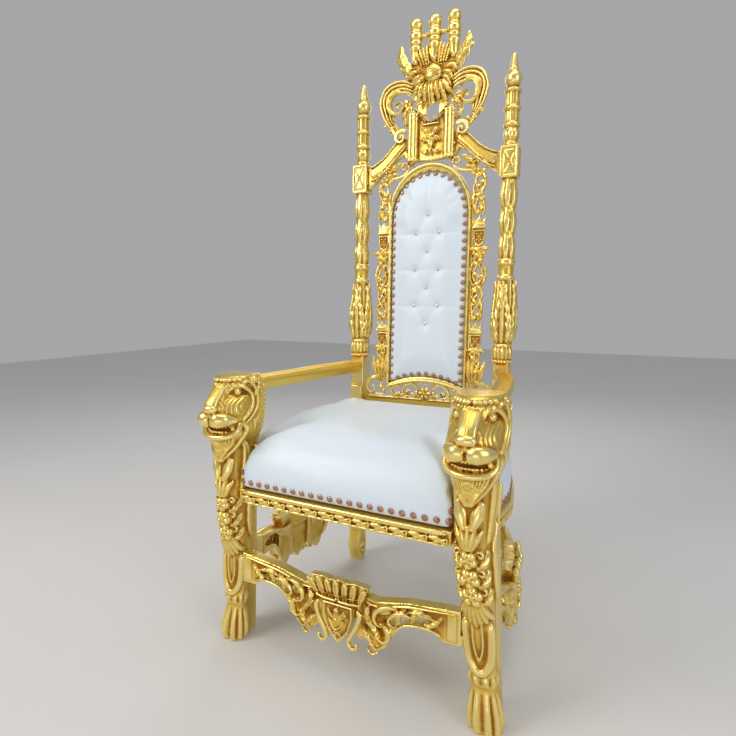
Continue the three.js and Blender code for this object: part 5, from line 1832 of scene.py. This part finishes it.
# %% Nails round the back pad
edge = arch(119, 672, 29, 1212, 1341)
closed = np.vstack([edge, edge[:1]])
back_nails = []
for place in spread([(x, 0, z) for x, z in closed], NAIL_PITCH)[:-1]:
    start = (place[0], BACK_Y + LEAN * place[2] - 120, place[2])
    found = on_surface(pad, start, (0, 1, 0))
    if found is not None:
        back_nails.append(nail_at(found[0] - 0.6 * found[1], found[1] * 0.4 + np.array([0, -0.6, 0])))
print("back nails:", len(back_nails))
back_row = raw_mesh("back_nails", back_nails)
settle(back_row, None, "nail_heads")

# %% [markdown]
# A button is a faceted crystal in a small bronze cup. The crystal is a cone of ten sides with its tip sawn
# off and its edges bevelled; the cup is a thin ring round it.

# %% One crystal
GEM_RADIUS, GEM_TABLE, GEM_HEIGHT = 9.5, 4.8, 5.4
bpy.ops.object.select_all(action="DESELECT")
bpy.ops.mesh.primitive_cone_add(vertices=10, radius1=GEM_RADIUS * MM, radius2=GEM_TABLE * MM,
                                depth=GEM_HEIGHT * MM, location=(0, 0, 2.7 * MM))
gem = bpy.context.object
bpy.ops.object.mode_set(mode="EDIT")
bpy.ops.mesh.select_all(action="SELECT")
bpy.ops.mesh.bevel(offset=0.7 * MM, segments=1, affect="EDGES")
bpy.ops.object.mode_set(mode="OBJECT")
gem_points = np.array([v.co[:] for v in gem.data.vertices]) / MM
gem_faces = [list(p.vertices) for p in gem.data.polygons]
bpy.data.objects.remove(gem)
print("faces of a crystal:", len(gem_faces))

# %% Buttons in their cups
CUP_SIDES = 20
CUP_SECTION = [(10.6, 1.5), (11.2, -0.4), (10.4, -1.6), (9.4, -1.2), (8.8, 1.0)]
gems, cups = [], []
for bx, bz in BUTTONS:
    found = on_surface(pad, (bx, BACK_Y + LEAN * bz - 120, bz), (0, 1, 0))
    place = found[0]
    v = gem_points
    gems.append((place + np.stack([v[:, 0], -v[:, 2] - 0.6, v[:, 1]], 1), gem_faces))
    a = np.linspace(0, 2 * np.pi, CUP_SIDES, endpoint=False)
    rings = [np.stack([place[0] + r * np.cos(a), np.full(CUP_SIDES, place[1] + y), place[2] + r * np.sin(a)],
                      1) for r, y in CUP_SECTION]
    cups.append(skin(np.stack(rings)))
crystals = raw_mesh("crystal_buttons", gems)
settle(crystals, None, "crystal")
cup_rings = raw_mesh("button_cups", cups)
cup_rings.data.shade_smooth()
settle(cup_rings, None, "nail_heads")
print("buttons:", len(gems))

# %% [markdown]
# ## Finishes
# A finish is a small network of shader nodes. To keep the sums readable, a socket is wrapped in a class
# whose plus, minus and times make Math nodes, and any other node is made by one method.

# %% Sums of sockets
class Value:
    """A shader socket that can be added, taken away and multiplied."""

    def __init__(self, finish, socket):
        self.finish = finish
        self.socket = socket

    def _math(self, operation, first, second, clamp=False):
        return self.finish.node("ShaderNodeMath", {"operation": operation, "use_clamp": clamp},
                                {0: first, 1: second})

    def __add__(self, other):
        return self._math("ADD", self, other)

    def __radd__(self, other):
        return self._math("ADD", other, self)

    def __sub__(self, other):
        return self._math("SUBTRACT", self, other)

    def __rsub__(self, other):
        return self._math("SUBTRACT", other, self)

    def __mul__(self, other):
        return self._math("MULTIPLY", self, other)

    def __rmul__(self, other):
        return self._math("MULTIPLY", other, self)

    def clamped(self):
        """The same value, kept between 0 and 1."""
        return self._math("ADD", self, 0.0, clamp=True)


print("sums:", [name for name in vars(Value) if name.startswith("__r")])

# %% [markdown]
# A finish owns one material. Its node method sets a node's own settings first, because they decide which
# sockets the node has, and then gives each named or numbered socket a value or a link.

# %% A finish
class Finish:
    """One material and the nodes that make it."""

    def __init__(self, name):
        self.material = bpy.data.materials.new(name)
        self.material.use_nodes = True
        self.tree = self.material.node_tree
        self.shader = next(n for n in self.tree.nodes if n.type == "BSDF_PRINCIPLED")

    def plug(self, socket, value):
        """Gives a socket a link, a number or a colour."""
        if isinstance(value, Value):
            self.tree.links.new(value.socket, socket)
        else:
            socket.default_value = value

    def node(self, kind, settings=None, sockets=None, out=0):
        added = self.tree.nodes.new(kind)
        for key, value in (settings or {}).items():
            setattr(added, key, value)
        for key, value in (sockets or {}).items():
            self.plug(added.inputs[key], value)
        return Value(self, added.outputs[out])

    def feed(self, name, value):
        """Gives the surface shader one of its inputs."""
        self.plug(self.shader.inputs[name], value)

    def measured(self, name):
        return self.node("ShaderNodeAttribute", {"attribute_name": name}, out="Fac")

    def place(self):
        return self.node("ShaderNodeTexCoord", out="Object")

    def noise(self, scale, detail=3.0, roughness=0.5):
        sockets = {"Vector": self.place(), "Scale": scale, "Detail": detail, "Roughness": roughness}
        return self.node("ShaderNodeTexNoise", sockets=sockets)

    def between(self, value, low, high):
        """Rescales low..high to 0..1."""
        return self.node("ShaderNodeMapRange", sockets={"Value": value, "From Min": low, "From Max": high},
                         out="Result")

    def blend(self, share, first, second):
        """A colour mix: first where share is 0 and second where it is 1."""
        factor, colour_a, colour_b, colour_out = 0, 6, 7, 2
        sockets = {factor: share, colour_a: first, colour_b: second}
        return self.node("ShaderNodeMix", {"data_type": "RGBA"}, sockets, out=colour_out)

    def bump(self, height, strength, distance):
        sockets = {"Height": height, "Strength": strength, "Distance": distance}
        self.feed("Normal", self.node("ShaderNodeBump", sockets=sockets, out="Normal"))


print("kinds of finish node:", [name for name in vars(Finish) if not name.startswith("_")])

# %% [markdown]
# Gold leaf: pale yellow on the crests, partly burnished and partly a painted highlight, deeper gold on the
# flats, and in the hollows a reddish brown, partly where the red ground shows and partly painted shade. The
# roughness goes up in the hollows too, and a faint cloudy unevenness breaks up the reflections.

# %% Gold leaf
# Pale burnished gold, laid on the crests as a painted highlight as well.
PALE_GOLD_AND_HIGHLIGHT = (1.0, 0.85, 0.36, 1)
DEEP_GOLD = (0.80, 0.53, 0.085, 1)
WARM_GOLD = (0.93, 0.67, 0.15, 1)
# The red ground, laid in the hollows and creases as painted shade as well.
RED_GROUND_AND_SHADE = (0.42, 0.19, 0.022, 1)


def gold_leaf(name):
    f = Finish(name)
    cloud = f.noise(7.0, 4.0)
    fine = f.noise(95.0, 5.0, 0.65)
    hollow = f.measured("hollow") + (cloud - 0.5) * 0.22 + (fine - 0.5) * 0.16
    crease = f.measured("crease") + (fine - 0.5) * 0.2
    # deep marks hollows and creases: the red ground showing there, and painted shade.
    deep = (f.between(hollow, 0.56, 0.92) * 0.75 + f.between(crease, 0.6, 0.98) * 0.5).clamped()
    # high marks the crests: burnished gold, and a painted highlight.
    high = f.between(crease + hollow * 0.35, 0.66, 0.36)
    flat = f.blend(cloud.clamped(), DEEP_GOLD, WARM_GOLD)
    # The crests are paled as a painted highlight over the burnish, and the hollows darkened as painted shade
    # over the red ground.
    bright = f.blend(high.clamped() * 0.8, flat, PALE_GOLD_AND_HIGHLIGHT)
    f.feed("Base Color", f.blend(deep.clamped(), bright, RED_GROUND_AND_SHADE))
    f.feed("Metallic", (1.0 - deep * 0.3).clamped())
    f.feed("Roughness", (0.27 + fine * 0.12 + deep * 0.3 - high * 0.05).clamped())
    f.bump(fine * 0.6 + cloud * 0.4, 0.25, 0.0012)
    return f.material


gold_carved = gold_leaf("gold_leaf")
print("nodes in the gold leaf:", len(gold_carved.node_tree.nodes))

# %% [markdown]
# The smooth arms have no hollows to measure, so they get a plainer gold of the same colour.

# %% Plain gold
flat_gold = Finish("gold_leaf_plain")
soft_cloud = flat_gold.noise(9.0, 4.0)
soft_fine = flat_gold.noise(90.0, 5.0, 0.65)
flat_gold.feed("Base Color",
               flat_gold.blend(soft_cloud.clamped(), (0.80, 0.55, 0.10, 1), (0.91, 0.67, 0.17, 1)))
flat_gold.feed("Metallic", 1.0)
flat_gold.feed("Roughness", (0.3 + soft_fine * 0.12).clamped())
flat_gold.bump(soft_fine, 0.2, 0.001)
print("nodes in the plain gold:", len(flat_gold.tree.nodes))

# %% [markdown]
# Leatherette is smooth and slightly cool white, with a soft sheen, a very fine pebble and a barely visible
# change of tone where it has been stretched. The nails are pinkish bronze, and the crystals clear and
# bright.

# %% Leatherette
white = Finish("white_leatherette")
tone = white.noise(3.0, 2.0)
pebble = white.node("ShaderNodeTexVoronoi", {"feature": "F1"}, {"Vector": white.place(), "Scale": 620.0},
                    out="Distance")
wrinkle = white.noise(26.0, 4.0, 0.6)
white.feed("Base Color", white.blend(tone.clamped(), (0.70, 0.80, 0.89, 1), (0.77, 0.85, 0.92, 1)))
white.feed("Roughness", (0.36 + wrinkle * 0.14).clamped())
white.feed("Coat Weight", 0.12)
white.feed("Coat Roughness", 0.3)
white.bump(pebble * 0.35 + wrinkle * 0.65, 0.22, 0.0012)
print("nodes in the leatherette:", len(white.tree.nodes))

# %% Bronze and crystal
bronze = Finish("bronze_nails")
tarnish = bronze.noise(160.0, 3.0)
bronze.feed("Base Color", bronze.blend(tarnish.clamped(), (0.30, 0.15, 0.11, 1), (0.62, 0.38, 0.28, 1)))
bronze.feed("Metallic", 1.0)
bronze.feed("Roughness", (0.22 + tarnish * 0.2).clamped())

crystal_finish = Finish("clear_crystal")
glint = crystal_finish.noise(300.0, 2.0)
crystal_finish.feed("Base Color",
                    crystal_finish.blend(glint.clamped(), (0.75, 0.82, 0.88, 1), (0.97, 0.98, 1.0, 1)))
crystal_finish.feed("Metallic", 0.75)
crystal_finish.feed("Roughness", 0.06)
print("nodes in bronze and crystal:", len(bronze.tree.nodes), len(crystal_finish.tree.nodes))

# %% [markdown]
# Each piece takes the finish of its slot. Solids that still show, such as the rail at the back, are gilded
# plainly.

# %% Give every piece its finish
finishes = {"gilding": gold_carved, "upholstery": white.material, "nail_heads": bronze.material,
            "crystal": crystal_finish.material}
for piece_name, slot_name in made.items():
    piece = bpy.data.objects[piece_name]
    piece.data.materials.clear()
    plain = slot_name == "gilding" and "hollow" not in piece.data.attributes
    piece.data.materials.append(flat_gold.material if plain else finishes[slot_name])
for node_name, node in frame["nodes"].items():
    covered = node_name in ("seat_cushion", "back_pad")
    for material_slot in node.material_slots:
        material_slot.material = white.material if covered else flat_gold.material
print("finished pieces:", len(made))

# %% [markdown]
# ## Floor, light and camera
# A plain pale floor, a big soft light from the upper left, a weaker one from the right, others above and
# behind, and a low warm one in front give gold what it needs: something bright and something darker to
# reflect.

# %% Floor
bpy.ops.object.select_all(action="DESELECT")
bpy.ops.mesh.primitive_plane_add(size=16, location=(0, 1.0, 0))
floor = bpy.context.object
floor.name = "floor"
pale = Finish("pale_floor")
speck = pale.noise(2.0, 2.0)
pale.feed("Base Color", pale.blend(speck.clamped(), (0.70, 0.69, 0.675, 1), (0.74, 0.73, 0.715, 1)))
pale.feed("Roughness", 0.55)
floor.data.materials.append(pale.material)
print("floor:", [round(length, 1) for length in floor.dimensions])

# %% Lights
def softbox(name, place, target, size, power, colour=(1, 1, 1)):
    data = bpy.data.lights.new(name, "AREA")
    data.shape = "RECTANGLE"
    data.size, data.size_y = size
    data.energy = power
    data.color = colour
    lamp = bpy.data.objects.new(name, data)
    lamp.location = place
    lamp.rotation_euler = (Vector(target) - Vector(place)).to_track_quat("-Z", "Y").to_euler()
    bpy.context.collection.objects.link(lamp)


softbox("key", (-2.2, -2.6, 2.9), (0, 0, 0.9), (1.6, 2.2), 62, (1.0, 0.97, 0.92))
softbox("fill", (2.9, -1.4, 1.8), (0, 0, 0.9), (1.2, 2.4), 20, (0.93, 0.97, 1.0))
softbox("overhead", (0.3, -0.4, 3.6), (0, 0.1, 0.9), (2.4, 1.6), 26, (1.0, 0.98, 0.95))
softbox("low front", (0.6, -3.2, 0.5), (0, 0, 0.6), (2.6, 0.8), 10, (1.0, 0.94, 0.86))
softbox("behind", (-1.0, 2.8, 2.4), (0, 0.2, 1.2), (2.0, 1.6), 16, (1.0, 0.98, 0.96))
print("lights:", len(bpy.data.lights))

# %% The room
ROOM_BRIGHTNESS = 0.62
world = bpy.data.worlds.new("studio")
bpy.context.scene.world = world
world.use_nodes = True
background = world.node_tree.nodes["Background"]
background.inputs["Color"].default_value = (0.62, 0.62, 0.64, 1)
background.inputs["Strength"].default_value = ROOM_BRIGHTNESS
print("room brightness:", ROOM_BRIGHTNESS)

# %% [markdown]
# The camera stands close, in front and to the right, at about half the throne's height, with a wide lens.
# It looks slightly down.

# %% Camera
LENS = 24.72  # millimetres, on a sensor 36 mm wide
CAMERA_X, CAMERA_Y, CAMERA_Z = 0.5736, -1.0008, 0.9322  # metres from the work lines
TILT, PAN = 82.68, 26.51
camera_data = bpy.data.cameras.new("camera")
camera_data.lens = LENS
camera_data.sensor_width = 36
camera_data.clip_start = 0.05
camera = bpy.data.objects.new("camera", camera_data)
camera.location = (CAMERA_X, CAMERA_Y + paw_line, CAMERA_Z)
camera.rotation_euler = (math.radians(TILT), 0, math.radians(PAN))
bpy.context.collection.objects.link(camera)
bpy.context.scene.camera = camera
bpy.context.scene.view_settings.view_transform = "Standard"
print("camera at", [round(place, 2) for place in camera.location])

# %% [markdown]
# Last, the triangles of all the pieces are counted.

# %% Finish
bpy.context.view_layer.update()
total = sum(len(p.vertices) - 2 for n in made for p in bpy.data.objects[n].data.polygons)
print("triangles in all:", total)
